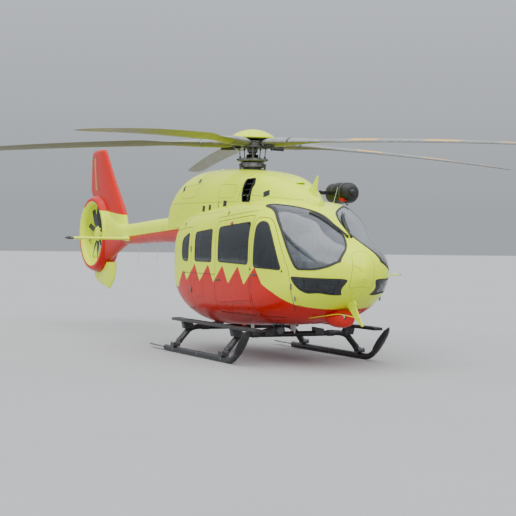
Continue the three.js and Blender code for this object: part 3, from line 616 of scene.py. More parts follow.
def piece(name, made, finishes, stands_for=None, body="fuselage", slot=None, angle=35, bevel=0.0,
          skin=None, deep=0):
    """A finished piece. On a skin it is shaded by that surface, and lined where it lies deep under it."""
    mesh = as_mesh(made, name)
    if deep:
        lining(mesh, skin, deep)
    made = placed(name, mesh)
    finishes = finishes.split()
    paints = np.zeros(len(mesh.polygons), np.int32)
    mesh.polygons.foreach_get("material_index", paints)
    mesh.materials.clear()
    for finish in finishes:
        mesh.materials.append(FINISHES[finish])
    mesh.polygons.foreach_set("material_index", np.minimum(paints, len(finishes) - 1))
    if skin:
        fair(mesh, skin)
    else:
        mesh.shade_smooth()
        mesh.set_sharp_from_angle(angle=math.radians(angle))
    if bevel:
        modifier = made.modifiers.new("soft_edges", "BEVEL")
        modifier.width = bevel
        modifier.segments = 2
        modifier.angle_limit = math.radians(40)
        modifier.harden_normals = True
    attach(made, body)
    slot or SLOT_OF[finishes[0]]
    if stands_for:
        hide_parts(stands_for)
    return made


# Node trees
GROUPS = {}
FINISHES = {}


class Tree:
    """A node tree under construction. An input may be given a value or another node's socket."""

    def __init__(self, tree):
        self.tree = tree

    def wire(self, value, target):
        if isinstance(value, bpy.types.NodeSocket):
            self.tree.links.new(value, target)
        else:
            target.default_value = value

    def node(self, kind, inputs=None, **settings):
        made = self.tree.nodes.new(kind)
        for key, value in settings.items():
            setattr(made, key, value)
        for key, value in (inputs or {}).items():
            self.wire(value, made.inputs[key])
        return made

    def maths(self, operation, *values, clamp=False):
        made = self.node("ShaderNodeMath", dict(enumerate(values)), operation=operation, use_clamp=clamp)
        return made.outputs[0]

    def times(self, *values, clamp=False):
        return self.maths("MULTIPLY", *values, clamp=clamp)

    def minus(self, *values):
        return self.maths("SUBTRACT", *values)

    def times_plus(self, *values):
        return self.maths("MULTIPLY_ADD", *values)

    def above(self, *values):
        return self.maths("GREATER_THAN", *values)

    def below(self, *values):
        return self.maths("LESS_THAN", *values)

    def between(self, value, low, high, to_low=0.0, to_high=1.0):
        """A value mapped from one range to another, held at its ends."""
        return self.node("ShaderNodeMapRange", {0: value, 1: low, 2: high, 3: to_low, 4: to_high}).outputs[0]

    def mixed(self, share, *tones):
        a, b = (t if isinstance(t, bpy.types.NodeSocket) else (*t[:3], 1) for t in tones)
        return self.node("ShaderNodeMix", {0: share, 6: a, 7: b}, data_type="RGBA").outputs[2]

    def chosen(self, share, a, b):
        return self.node("ShaderNodeMix", {0: share, 2: a, 3: b}, data_type="FLOAT").outputs[0]

    def noise(self, vector, scale, detail=3.0, rough=0.5):
        inputs = {"Vector": vector, "Scale": scale, "Detail": detail, "Roughness": rough}
        return self.node("ShaderNodeTexNoise", inputs).outputs["Fac"]

    def split(self, vector):
        return self.node("ShaderNodeSeparateXYZ", {0: vector}).outputs

    def length(self, parts):
        flat = self.node("ShaderNodeCombineXYZ", parts).outputs[0]
        return self.node("ShaderNodeVectorMath", {0: flat}, operation="LENGTH").outputs["Value"]


def shader_group(name, outputs, **inputs):
    """A group with a Vector, inputs with their default values, and outputs that are values."""
    tree = GROUPS[name] = bpy.data.node_groups.new(name, "ShaderNodeTree")
    tree.interface.new_socket("Vector", in_out="INPUT", socket_type="NodeSocketVector")
    for label, value in inputs.items():
        tree.interface.new_socket(label, in_out="INPUT", socket_type="NodeSocketFloat").default_value = value
    for label in outputs:
        tree.interface.new_socket(label, in_out="OUTPUT", socket_type="NodeSocketFloat")
    given, result = tree.nodes.new("NodeGroupInput").outputs, tree.nodes.new("NodeGroupOutput").inputs
    return Tree(tree), given["Vector"], given, result


def livery_group():
    """Where the airframe is red: a zigzag border on the cabin, plain fields on the tail."""
    tree, place, _, result = shader_group("livery", ["Red"])
    _, y, z = tree.split(place)
    nose, tail, low, high = -3.6, 2.0, 0.6, 1.6
    line = [(-3.6, 0.83), (-3.0, 0.83), (-2.72, 0.90), (-2.42, 1.06), (-2.16, 1.17)]
    for k in range(5):
        start = -2.16 + 0.52 * k
        line += [(start + 0.20, 1.41), (start + 0.52, 1.14)]
    line += [(0.62, 1.30), (0.86, 1.02), (1.5, 0.95), (2.0, 0.95)]
    curve = tree.node("ShaderNodeFloatCurve", {"Value": tree.between(y, nose, tail)})
    points = curve.mapping.curves[0].points
    line = [((a - nose) / (tail - nose), (b - low) / (high - low)) for a, b in line]
    points[0].location, points[1].location = line[0], line[-1]
    for spot in line[1:-1]:
        points.new(*spot)
    for point in points:
        point.handle_type = "VECTOR"
    curve.mapping.update()
    sharp = lambda a, b: tree.between(tree.minus(a, b), -0.0025, 0.0025)
    cabin = sharp(tree.between(curve.outputs[0], 0, 1, low, high), z)
    # The lower half of the boom is red
    boom = sharp(tree.between(y, 1.8, 5.6, 2.0, 1.79), z)
    # Round the duct: red below the stabiliser's height and on the fin, yellow inside the ring
    radius = tree.length({1: tree.minus(y, FAN_Y / 1000), 2: tree.minus(z, FAN_Z / 1000)})
    outside = sharp(radius, 0.662)
    under = sharp(1.765, z)
    over = sharp(z, tree.between(y, 5.6, 7.2, 2.24, 2.40))
    keel = tree.times(sharp(radius, 0.80), sharp(1.33, z))
    shroud = tree.times(tree.maths("MAXIMUM", under, over), outside)
    shroud = tree.times(shroud, tree.minus(1.0, keel))
    on_tail = tree.above(y, 5.48)
    on_boom = tree.times(tree.above(y, 1.845), tree.below(z, 2.3))
    tree.wire(tree.chosen(on_tail, tree.chosen(on_boom, cabin, boom), shroud), result["Red"])


def grime_group():
    """Soft patches and streaks of dust and dirt."""
    tree, place, given, result = shader_group("grime", ["Patches", "Streaks"], Scale=3.0)
    tree.wire(tree.between(tree.noise(place, given["Scale"], 6, 0.6), 0.38, 0.72), result["Patches"])
    inputs = {0: place, 1: (9.0, 9.0, 1.1)}
    stretched = tree.node("ShaderNodeVectorMath", inputs, operation="MULTIPLY").outputs[0]
    tree.wire(tree.between(tree.noise(stretched, given["Scale"], 4, 0.55), 0.5, 0.78), result["Streaks"])


def grain_group():
    """Fine relief, from broad orange peel to tight grain."""
    tree, place, given, result = shader_group("grain", ["Height", "Mask"], Scale=200.0)
    fine = tree.noise(place, given["Scale"], 2, 0.5)
    broad = tree.noise(place, tree.times(given["Scale"], 0.23), 3, 0.55)
    tree.wire(tree.times_plus(fine, 0.5, tree.times(broad, 0.5)), result["Height"])
    tree.wire(tree.between(broad, 0.35, 0.68), result["Mask"])


def weave_group():
    """Crossing threads, counted per metre."""
    tree, place, given, result = shader_group("weave", ["Height", "Mask"], Threads=400.0)
    x, y, z = tree.split(place)
    turns = tree.times(given["Threads"], math.pi)
    along = tree.maths("ADD", y, tree.times(z, 0.83))
    cross = tree.times(*(tree.maths("SINE", tree.times(way, turns)) for way in (x, along)))
    height = tree.times_plus(cross, 0.5, 0.5)
    tree.wire(height, result["Height"])
    speckle = tree.noise(place, tree.times(given["Threads"], 0.4), 2)
    tree.wire(tree.times(height, tree.between(speckle, 0.3, 0.7)), result["Mask"])


def wear_group():
    """Where edges have rubbed bright: sharp corners, broken up by noise."""
    tree, place, given, result = shader_group("edge_wear", ["Mask"], Pointiness=0.5, Amount=0.5)
    edge = tree.between(given["Pointiness"], 0.53, 0.62)
    broken = tree.between(tree.noise(place, 28, 5, 0.65), 0.42, 0.6)
    tree.wire(tree.times(tree.times(edge, broken), given["Amount"], clamp=True), result["Mask"])


# Finishes
class Finish(Tree):
    """A material under construction; place is the place on the aircraft in metres."""

    def __init__(self, name, **settings):
        made = FINISHES[name] = bpy.data.materials.new(name)
        made.use_nodes = True
        super().__init__(made.node_tree)
        self.shader = self.tree.nodes["Principled BSDF"]
        self.put(**settings)
        where = self.node("ShaderNodeTexCoord").outputs["Object"]
        inputs = {0: where, 1: tuple(MAST_AXIS)}
        self.place = self.node("ShaderNodeVectorMath", inputs, operation="SUBTRACT").outputs[0]

    def put(self, **inputs):
        """Sets the shader's inputs, named with _ for a space."""
        for label, value in inputs.items():
            self.wire(value, self.shader.inputs[label.replace("_", " ")])

    def group(self, name, **inputs):
        inputs["Vector"] = self.place
        return self.node("ShaderNodeGroup", inputs, node_tree=GROUPS[name]).outputs

    def relief(self, height, strength, distance):
        inputs = {"Height": height, "Strength": strength, "Distance": distance}
        self.put(Normal=self.node("ShaderNodeBump", inputs).outputs[0])

    def grain(self, scale, strength, distance):
        self.relief(self.group("grain", Scale=scale)["Height"], strength, distance)


def paint(name, plain=None):
    """Glossy aircraft paint, in the livery or plain: lacquer, faint orange peel, dust and dirt low down."""
    made = Finish(name, Coat_Weight=0.22, Coat_Roughness=0.06, Coat_IOR=1.5, Specular_IOR_Level=0.12)
    if plain:
        colour = made.mixed(made.noise(made.place, 2.0), plain, [c * 0.96 for c in plain])
    else:
        colour = made.mixed(made.group("livery")["Red"], tuple(looks().yellow), tuple(looks().red))
    dirt = made.group("grime", Scale=2.2)
    shade = made.mixed(0.5, colour, (0.36, 0.31, 0.2))
    low = made.between(made.split(made.place)[2], 0.95, 0.5, 0.03, 0.14)
    soil = made.times_plus(dirt["Streaks"], 0.05, made.times(dirt["Patches"], low))
    made.put(Base_Color=made.mixed(soil, colour, shade),
        Roughness=made.between(dirt["Patches"], 0, 1, 0.26, 0.4))
    made.grain(260.0, 0.05, 0.0008)


def coarse(name, low, high, rough=(0.45, 0.65), metal=0.0, scale=120.0, bump=0.15, depth=0.0006, wear=None,
           spots=8.0, **more):
    """A grained finish between two tones, with rubbed edges where wear gives their colour."""
    made = Finish(name, Metallic=metal, **more)
    patches = made.group("grime", Scale=spots)
    grain = made.group("grain", Scale=scale)
    share = made.times_plus(patches["Patches"], 0.6, made.times(grain["Mask"], 0.4))
    colour = made.mixed(share, low, high)
    gloss = made.between(share, 0, 1, *rough)
    if wear:
        sharp = made.node("ShaderNodeNewGeometry").outputs["Pointiness"]
        rubbed = made.group("edge_wear", Pointiness=sharp, Amount=0.7)["Mask"]
        colour = made.mixed(rubbed, colour, (wear, wear, wear))
    made.put(Base_Color=colour, Roughness=gloss)
    made.relief(grain["Height"], bump, depth)


def cloth(name, low, high, threads, rough=0.85):
    made = Finish(name, Roughness=rough, Sheen_Weight=0.3, Sheen_Roughness=0.4)
    weave = made.group("weave", Threads=threads)
    patches = made.group("grime", Scale=5.0)
    share = made.times_plus(weave["Mask"], 0.65, made.times(patches["Patches"], 0.35))
    made.put(Base_Color=made.mixed(share, low, high))
    made.relief(weave["Height"], 0.5, 0.0007)


def blade_finish():
    """Rotor blade: grey above with three orange bands, olive below."""
    made = Finish("blade_skin", Coat_Weight=0.15, Coat_Roughness=0.2)
    x, y, _ = made.split(made.place)
    radius = made.length({0: x, 1: y})
    facing = made.node("ShaderNodeNewGeometry").outputs["Normal"]
    upward = made.between(made.split(facing)[2], -0.15, 0.15)
    patches = made.group("grime", Scale=6.0)["Patches"]
    top = made.mixed(patches, (0.22, 0.235, 0.23), (0.32, 0.335, 0.32))
    under = made.mixed(patches, (0.11, 0.105, 0.035), (0.17, 0.16, 0.06))
    colour = made.mixed(upward, under, top)
    for start, end in ((1.98, 2.5), (3.35, 3.95), (4.62, 4.95)):
        inside = made.times(made.above(radius, start), made.below(radius, end))
        colour = made.mixed(made.times(inside, upward), colour, (0.78, 0.43, 0.06))
    made.put(Base_Color=colour, Roughness=made.between(patches, 0, 1, 0.35, 0.55))
    made.grain(140.0, 0.1, 0.0005)


def burnt_finish():
    """Exhaust steel, straw to blue where it runs hottest, sooty at the mouth."""
    made = Finish("burnt_steel", Metallic=0.9)
    wavy = made.times_plus(made.noise(made.place, 9.0), 0.12, made.split(made.place)[1])
    tint = made.mixed(made.between(wavy, 1.78, 1.98), (0.42, 0.36, 0.27), (0.22, 0.21, 0.27))
    tint = made.mixed(made.between(wavy, 1.94, 2.06), tint, (0.05, 0.045, 0.04))
    made.put(Base_Color=tint, Roughness=made.between(made.noise(made.place, 30.0), 0.3, 0.7, 0.28, 0.5))
    made.grain(90.0, 0.12, 0.0006)


def glass_finish(name, tone, **more):
    """Tinted acrylic with a slightly uneven surface."""
    made = Finish(name, Transmission_Weight=0.94, Metallic=0.0, **more)
    film = made.group("grime", Scale=1.6)["Patches"]
    made.put(Base_Color=made.mixed(film, tone, [c * 0.88 for c in tone]),
        Roughness=made.between(film, 0, 1, 0.02, 0.06))
    made.relief(made.noise(made.place, 1.2), 0.04, 0.02)


def lamp_finish(name, tone, glow=0.15):
    made = Finish(name, Transmission_Weight=0.35, Roughness=0.12, Coat_Weight=0.6, Coat_Roughness=0.03)
    ribs = made.group("weave", Threads=90.0)
    colour = made.mixed(ribs["Mask"], tone, [c * 0.6 for c in tone])
    made.put(Base_Color=colour, Emission_Color=colour, Emission_Strength=glow)
    made.relief(ribs["Height"], 0.4, 0.001)


def make_finishes():
    for make_group in (livery_group, grime_group, grain_group, weave_group, wear_group):
        make_group()
    paint("livery_paint")
    paint("yellow_paint", tuple(looks().yellow))
    paint("red_paint", tuple(looks().red))
    coarse("rubber", (0.012, 0.012, 0.013), (0.03, 0.03, 0.03), (0.45, 0.7), bump=0.2)
    coarse("cabin_trim", (0.045, 0.047, 0.05), (0.08, 0.082, 0.086), (0.6, 0.8), scale=420.0, bump=0.25)
    coarse("dark_trim", (0.018, 0.019, 0.021), (0.035, 0.036, 0.038), (0.55, 0.75), scale=500.0, bump=0.3)
    coarse("skid_black", (0.01, 0.01, 0.011), (0.022, 0.022, 0.023), (0.3, 0.5), 0, 240.0, 0.1, wear=0.16,
        spots=5.0)
    coarse("grip_tread", (0.008, 0.008, 0.009), (0.04, 0.04, 0.041), (0.8, 0.95), 0, 900.0, 0.9, 0.0012)
    coarse("steel", (0.10, 0.098, 0.095), (0.19, 0.185, 0.18), (0.35, 0.55), 0.8, 160.0, 0.12, wear=0.4)
    coarse("alloy", (0.5, 0.5, 0.51), (0.62, 0.62, 0.63), (0.25, 0.4), 0.85, 200.0, 0.08)
    coarse("dark_metal", (0.03, 0.031, 0.033), (0.07, 0.071, 0.074), (0.35, 0.6), 0.5, 150.0, wear=0.3)
    coarse("black_paint", (0.012, 0.012, 0.013), (0.02, 0.02, 0.021), (0.3, 0.42), scale=200.0, bump=0.08)
    coarse("seam_line", (0.05, 0.055, 0.02), (0.08, 0.085, 0.03), (0.6, 0.8))
    coarse("white_paint", (0.62, 0.63, 0.6), (0.7, 0.71, 0.68), (0.3, 0.45), bump=0.05)
    coarse("worn_edge", (0.18, 0.18, 0.17), (0.3, 0.3, 0.29), (0.35, 0.6), 0.6, 80.0, 0.2)
    # Painted highlight: the tan of a lit edge of the fin, laid on the fin as a band
    coarse("ochre_band", (0.40, 0.27, 0.06), (0.52, 0.36, 0.09))
    coarse("cover_shell", (0.008, 0.008, 0.0065), (0.018, 0.018, 0.013), (0.4, 0.62), 0, 380.0, 0.4, 0.001)
    coarse("screen", (0.006, 0.008, 0.012), (0.012, 0.016, 0.022), (0.06, 0.12), bump=0.02, Coat_Weight=0.8)
    cloth("seat_cloth", (0.20, 0.205, 0.215), (0.33, 0.335, 0.345), 760.0)
    cloth("pad_orange", (0.45, 0.10, 0.02), (0.62, 0.17, 0.04), 520.0)
    cloth("webbing", (0.03, 0.03, 0.032), (0.09, 0.09, 0.092), 900.0, 0.7)
    blade_finish()
    burnt_finish()
    glass_finish("tinted_glass", (0.24, 0.28, 0.31), IOR=1.4, Specular_IOR_Level=0.4)
    glass_finish("windscreen_glass", (0.46, 0.51, 0.57), IOR=1.5, Coat_Weight=0.8, Coat_Roughness=0.015)
    lamp_finish("red_lamp", (0.75, 0.05, 0.02))
    # Clear glass that glows: a lamp's own light on the position lights, a painted glint on the camera pod's
    # lens, which holds no lamp
    lamp_finish("clear_lamp", (0.75, 0.77, 0.78), 0.05)


# Fittings that repeat
def scatter_tree():
    """Puts a template on each point, turned by the point's facing and along directions."""
    group = GROUPS["scatter"] = bpy.data.node_groups.new("scatter_fittings", "GeometryNodeTree")
    keys = GROUPS["scatter_inputs"] = {}
    for label, kind in (("Points", "Geometry"), ("Template", "Object"), ("Size", "Float"),
            ("Finish", "Material")):
        socket = group.interface.new_socket(label, in_out="INPUT", socket_type="NodeSocket" + kind)
        keys[label] = socket.identifier
        if kind == "Float":
            socket.default_value = 1.0
    group.interface.new_socket("Fittings", in_out="OUTPUT", socket_type="NodeSocketGeometry")
    tree, given = Tree(group), group.nodes.new("NodeGroupInput").outputs
    attribute = "GeometryNodeInputNamedAttribute"
    named = lambda label: tree.node(attribute, {"Name": label}, data_type="FLOAT_VECTOR").outputs[0]
    template = tree.node("GeometryNodeObjectInfo", {"Object": given["Template"]}).outputs["Geometry"]
    align = "FunctionNodeAlignRotationToVector"
    turn = tree.node(align, {"Vector": named("facing")}, axis="Z").outputs[0]
    turn = tree.node(align, {"Rotation": turn, "Vector": named("along")}, axis="X", pivot_axis="Z").outputs[0]
    inputs = {"Points": given["Points"], "Instance": template, "Rotation": turn, "Scale": given["Size"]}
    made = tree.node("GeometryNodeInstanceOnPoints", inputs)
    made = tree.node("GeometryNodeRealizeInstances", {0: made.outputs[0]})
    made = tree.node("GeometryNodeSetMaterial", {"Geometry": made.outputs[0], "Material": given["Finish"]})
    tree.wire(made.outputs[0], group.nodes.new("NodeGroupOutput").inputs[0])


def template_mesh(shape, name="template"):
    """A mesh in metres about its own origin."""
    mesh = shape.mesh(name)
    mesh.transform(Matrix.Translation(-Vector(MAST_AXIS)))
    return mesh


def scattered(name, spots, template, finish, body="fuselage", slot=None):
    """Fittings on points in millimetres, each with a facing and an along direction."""
    cloud = bpy.data.meshes.new(name + "_points")
    points = np.array([s[0] for s in spots], float) / 1000 + MAST_AXIS
    cloud.from_pydata(points.tolist(), [], [])
    for label, column in (("facing", 1), ("along", 2)):
        attribute = cloud.attributes.new(label, "FLOAT_VECTOR", "POINT")
        attribute.data.foreach_set("vector", np.array([s[column] for s in spots], np.float32).ravel())
    holder = placed(name + "_points", cloud)
    sample = placed(name + "_template", template_mesh(template))
    modifier = holder.modifiers.new("scatter", "NODES")
    modifier.node_group = GROUPS["scatter"]
    keys = GROUPS["scatter_inputs"]
    modifier[keys["Template"]] = sample
    modifier[keys["Finish"]] = FINISHES[finish]
    mesh = plain_mesh(holder, name)
    bpy.data.objects.remove(sample)
    if not len(mesh.polygons):
        raise RuntimeError(f"{name} came out empty")
    return piece(name, mesh, finish, body=body, slot=slot, angle=40)


# Sizes and colours that a user would change
class HELI_PG_looks(bpy.types.PropertyGroup):
    yellow: bpy.props.FloatVectorProperty(
        name="Yellow", description="High-visibility yellow of the airframe",
        subtype="COLOR", size=3, default=(0.75, 0.93, 0.010)
    )
    red: bpy.props.FloatVectorProperty(
        name="Red", description="Red-orange of the lower airframe and the fin",
        subtype="COLOR", size=3, default=(0.56, 0.008, 0.002)
    )
    seal_width: bpy.props.FloatProperty(
        name="Window seal", description="Width of the rubber round each window, in millimetres",
        default=24.0, min=5.0
    )
    rivet_size: bpy.props.FloatProperty(
        name="Fastener radius", description="Radius of a skin fastener, in millimetres", default=5.0, min=1.0
    )
    skin_segments: bpy.props.IntProperty(
        name="Skin segments", description="Facets round a fuselage section", default=120, min=28
    )
    pad_pressure: bpy.props.FloatProperty(
        name="Pad pressure", description="How hard the seat cushions are filled", default=4.0, min=0.0
    )
    camera_lens: bpy.props.FloatProperty(
        name="Lens", description="Focal length of the camera", default=93.24, unit="CAMERA"
    )


def looks():
    return bpy.context.scene.helicopter_looks


SOLIDS = {}


def solid(name):
    """The fuselage and fairing solids, made once."""
    makers = {
        "outer": lambda: BODY.solid(0, 8, looks().skin_segments),
        "under_glass": lambda: BODY.solid(GLASS, 8, looks().skin_segments),
        "inner": lambda: BODY.solid(WALL, 8, looks().skin_segments),
        "raised": lambda: BODY.solid(-3.5, 8, looks().skin_segments),
        "cowl": lambda: ROOF.solid(0, 10, 60),
        "cowl_inner": lambda: ROOF.solid(COWL_WALL, 10, 60),
        "wall": lambda: carve(solid("outer"), ("-", solid("inner"))),
        "glass": lambda: carve(solid("outer"), ("-", solid("under_glass"))),
        "strip": lambda: carve(solid("raised"), ("-", solid("under_glass"))),
    }
    if name not in SOLIDS:
        SOLIDS[name] = makers[name]()
    return SOLIDS[name]


def opening(outline, bend, sign, start, grow=0):
    """The room from a side-view outline, widened by grow, out past the skin."""
    return across(rounded(grown(outline, grow) if grow else outline, bend), sign * start, sign * 1500)


def windscreen_cutter(sign, grow):
    plan = rounded(grown(WINDSCREEN_EDGE, grow), 130) * (-sign, 1)
    return carve(opening(WINDSCREEN, 150, sign, 0, grow), ("&", Shape().prism(plan, 2, 1000, 3500)))


class HELI_OT_finishes(bpy.types.Operator):
    """Paints, metals, glass and cloths"""

    bl_idname = "heli.finishes"
    bl_label = "Finishes"

    def execute(self, context):
        make_finishes()
        scatter_tree()
        return {"FINISHED"}


class HELI_OT_camera(bpy.types.Operator):
    """The camera of the photograph"""

    bl_idname = "heli.camera"
    bl_label = "Camera"

    def execute(self, context):
        yaw, pitch, roll = CAMERA_TURN
        forward = Vector((math.sin(yaw) * math.cos(pitch), math.cos(yaw) * math.cos(pitch), math.sin(pitch)))
        right = Vector((math.cos(yaw), -math.sin(yaw), 0))
        upward = right.cross(forward)
        level = math.cos(roll) * right + math.sin(roll) * upward
        rise = -math.sin(roll) * right + math.cos(roll) * upward
        data = bpy.data.cameras.new("camera")
        data.lens = looks().camera_lens
        data.sensor_width = 36
        data.clip_end = 500
        turn = Matrix((level, rise, -forward)).transposed().to_4x4()
        stand = Vector(CAMERA_STAND) + Vector(MAST_AXIS)
        context.scene.camera = placed("camera", data)
        context.scene.camera.matrix_world = Matrix.Translation(stand) @ turn
        return {"FINISHED"}


class HELI_OT_stage(bpy.types.Operator):
    """Pale floor, soft sky and two soft lights"""

    bl_idname = "heli.stage"
    bl_label = "Stage"

    def execute(self, context):
        mesh = bpy.data.meshes.new("floor")
        mesh.from_pydata([(x, y, 0) for x, y in rect(-120, 120, -120, 120)], [], [(0, 1, 2, 3)])
        coarse("floor_finish", (0.36, 0.36, 0.36), (0.39, 0.39, 0.39), (0.75, 0.9), scale=30.0, bump=0.05,
            spots=0.3)
        mesh.materials.append(FINISHES["floor_finish"])
        placed("floor", mesh)
        world = bpy.data.worlds.new("soft_sky")
        world.use_nodes = True
        sky = Tree(world.node_tree)
        height = sky.split(sky.node("ShaderNodeTexCoord").outputs["Generated"])[2]
        glow = world.node_tree.nodes["Background"].inputs
        sky.wire((0.84, 0.89, 0.95, 1), glow[0])
        sky.wire(sky.between(height, 0.02, 0.6, 0.5, 1.35), glow[1])
        context.scene.world = world
        for name, shines, spread, strength in (
            ("overhead", (0.2, 0.35, -1), 1.6, 3.1), ("fill", (0.75, 0.75, -0.35), 1.9, 1.0),
        ):
            data = bpy.data.lights.new(name, "SUN")
            data.angle = spread
            data.energy = strength
            placed(name, data).rotation_euler = Vector(shines).to_track_quat("-Z", "Y").to_euler()
        return {"FINISHED"}


class HELI_OT_shell(bpy.types.Operator):
    """Belly, nose, cockpit frame and cabin, with openings for doors and glass"""

    bl_idname = "heli.shell"
    bl_label = "Shell"

    def execute(self, context):
        cuts = [carve(solid("inner"), ("&", Shape().block(-2000, 2000, -3640, 4000, FLOOR_Z, 3000)))]
        for sign in (-1, 1):
            cuts += [
                opening(FRONT_DOOR, 80, sign, DOOR_START, SEAM),
                opening(SLIDING_DOOR, 68, sign, DOOR_START, SEAM),
                opening(SIDE_WINDOW, 60, sign, WINDOW_START),
                windscreen_cutter(sign, 0),
                opening(CHIN_WINDOW, 50, sign, CHIN_GAP),
                opening(REAR_DOOR, 58, sign, 0, SEAM),
            ]
        body = carve(solid("outer"), *(("-", cut) for cut in cuts), name="fuselage_shell")
        slab = lambda y0, y1, z0, z1=3000: Shape().block(-1500, 1500, y0, y1, z0, z1)
        cockpit = carve(slab(-4200, -2890, 1330.4), ("+", slab(-2899.6, -1830, 640)))
        for name, space, slot in (
            ("belly", slab(-4200, 2500, 0, 639.6), "red_metal"),
            ("nose", slab(-4200, -2900, 0, 1330), "yellow_metal"),
            ("cockpit_frame", cockpit, "yellow_metal"),
            ("cabin_shell", slab(-1829.6, 2500, 640), "yellow_metal"),
        ):
            part = carve(body, ("&", space), name=name)
            piece(name + "_skin", part, "livery_paint cabin_trim", name, slot=slot, skin=BODY, deep=12)
        return {"FINISHED"}


class HELI_OT_doors(bpy.types.Operator):
    """Cockpit, sliding and rear doors with their glass, seals and handles"""

    bl_idname = "heli.doors"
    bl_label = "Doors"

    # Each door's outline and its bend, its window and that bend, and where it starts off the middle
    rows = (
        ("front_door_", FRONT_DOOR, 70, FRONT_DOOR_WINDOW, 70, DOOR_START),
        ("sliding_door_", SLIDING_DOOR, 60, SLIDING_DOOR_WINDOW, 60, DOOR_START),
        ("rear_door_", REAR_DOOR, 50, REAR_DOOR_WINDOW, 60, SEAM / 2),
    )
    rear_edge = [
        (266, 700), (266, 1962), (329, 1989), (761, 1959),
        (1182, 1904), (1562, 1704), (1701, 1676), (1800, 1676),
    ]
    # What rides on a door: a line, its width, and how far above the skin it starts and ends
    fittings = {
        "front_door_": [
            ([(-2020, 1290), (-1880, 1294)], 26, -3, 8),
            ([(-2560, 1120), (-1960, 1130)], 70, -78, -34),
            ([(-2480, 800), (-2560, 960), (-1960, 980), (-1960, 800)], 16, -62, -36),
            ([(-1925, 1180), (-1925, 1330)], 24, -84, -36),
            ([(-2030, 1230), (-2030, 1262)], 60, -70, -36),
        ],
        "rear_door_": [
            ([(1010, 1010), (1130, 1012)], 26, -3, 8),
            ([(548, 1262), (280, 1262)], 13, -6, 1.2),
            ([(540, 1202), (540, 1272)], 18, -4, 9),
            ([(360, 1150), (1380, 1150)], 60, -60, -36),
            ([(380, 800), (380, 1060), (1260, 1060), (1260, 800)], 18, -60, -36),
            ([(900, 1240), (900, 1700)], 40, -58, -36),
            ([(1200, 1240), (1200, 1600)], 40, -58, -36),
        ],
    }

    def execute(self, context):
        for side, sign in SIDES:
            for name, *shape in self.rows:
                body = "fuselage" if name == "sliding_door_" else name + side + "_body"
                self.door(name + side, body, sign, *shape)
            for name, outline in (("front_door_", FRONT_DOOR), ("sliding_door_", SLIDING_DOOR)):
                gap = Shape().rim(BODY, rounded(grown(outline, SEAM / 2), 74), sign, *DOOR_GAP, step=20)
                piece(name + side + "_seal", gap, "rubber")
            edge = rounded(self.rear_edge, 54, closed=False)
            gap = Shape().ribbon(BODY, edge, sign, *DOOR_GAP, step=20)
            gap.ribbon(BODY, [(270, 696), (1120, 696)], sign, *DOOR_GAP, step=20)
            piece("rear_door_" + side + "_seal", gap, "rubber")
            for name, strips in self.fittings.items():
                self.ridden(name + side, sign, strips)
        return {"FINISHED"}

    def door(self, name, body, sign, outline, bend, window, window_bend, start):
        """A door's panel, pane and window seal."""
        glass_start = max(start, WINDOW_START)
        hole, room = opening(window, window_bend, sign, glass_start), opening(outline, bend, sign, start)
        panel = carve(solid("wall"), ("&", room), ("-", hole), name=name)
        piece(name + "_skin", panel, "livery_paint cabin_trim", name, body=body, skin=BODY, deep=12)
        hole = opening(window, window_bend, sign, glass_start, -PANE_GAP)
        pane = carve(solid("glass"), ("&", hole), name=name + "_pane")
        piece(name + "_pane", pane, "tinted_glass", name + "_window", body=body, skin=BODY)
        edge = rounded(grown(window, -2), window_bend)
        rim = Shape().rim(BODY, edge, sign, looks().seal_width, -9.5, 3)
        piece(name + "_window_seal", rim, "rubber", body=body)

    def ridden(self, door, sign, strips):
        """Handle, rail, armrest, pocket and ribs that move with a door."""
        ridden = Shape()
        for line, width, low, high in strips:
            add, line = (ridden.rim, rounded(line, 20, 4)) if len(line) > 2 else (ridden.ribbon, line)
            add(BODY, line, sign, width, low, high, 1 if low < -20 else 0)
        body, slot = door + "_body", "black_alloy"
        piece(door + "_fittings", ridden, "dark_metal dark_trim", body=body, slot=slot)


class HELI_OT_windows(bpy.types.Operator):
    """Windscreens, chin windows and the fixed side windows, with their seals"""

    bl_idname = "heli.windows"
    bl_label = "Windows"

    def execute(self, context):
        for side, sign in SIDES:
            side_window = opening(SIDE_WINDOW, 60, sign, WINDOW_START, -PANE_GAP)
            chin_window = opening(CHIN_WINDOW, 50, sign, CHIN_GAP + PANE_GAP, -PANE_GAP)
            for name, room, finish in (
                ("side_window_", side_window, "tinted_glass"),
                ("windscreen_", windscreen_cutter(sign, -PANE_GAP), "windscreen_glass"),
                ("chin_window_", chin_window, "tinted_glass"),
            ):
                pane = carve(solid("glass"), ("&", room), name=name + side)
                piece(name + side + "_pane", pane, finish, name + side, skin=BODY)
            rim = Shape().rim(BODY, rounded(grown(SIDE_WINDOW, -2), 60), sign, looks().seal_width, -9.5, 3)
            piece("side_window_" + side + "_seal", rim, "rubber")
            for name, outer, inner in (
                ("windscreen_", windscreen_cutter(sign, 5), windscreen_cutter(sign, -24)),
                ("chin_window_", opening(CHIN_WINDOW, 54, sign, CHIN_GAP - 4, 4),
                 opening(CHIN_WINDOW, 40, sign, CHIN_GAP + 20, -20)),
            ):
                seal = carve(solid("strip"), ("&", outer), ("-", inner), name=name + side)
                piece(name + side + "_seal", seal, "rubber", skin=BODY)
        return {"FINISHED"}


def seam_round(shape, skin, y, start, end):
    """A seam round one section, between two angles from the left horizontal, in degrees."""
    angle = np.radians(np.linspace(start, end, 60))
    points = spaced(section(angle, y, *(float(v) for v in skin.row(y))), 16, closed=False)
    return shape.strip(points, skin.normal(points), *SEAM_STRIP)


def on_skin(skin, sign, y, z):
    """A point on the side of the skin and the direction that the skin faces there."""
    spot = np.array([[sign * skin.side(y, z), y, z]])
    return spot[0], skin.normal(spot)[0]


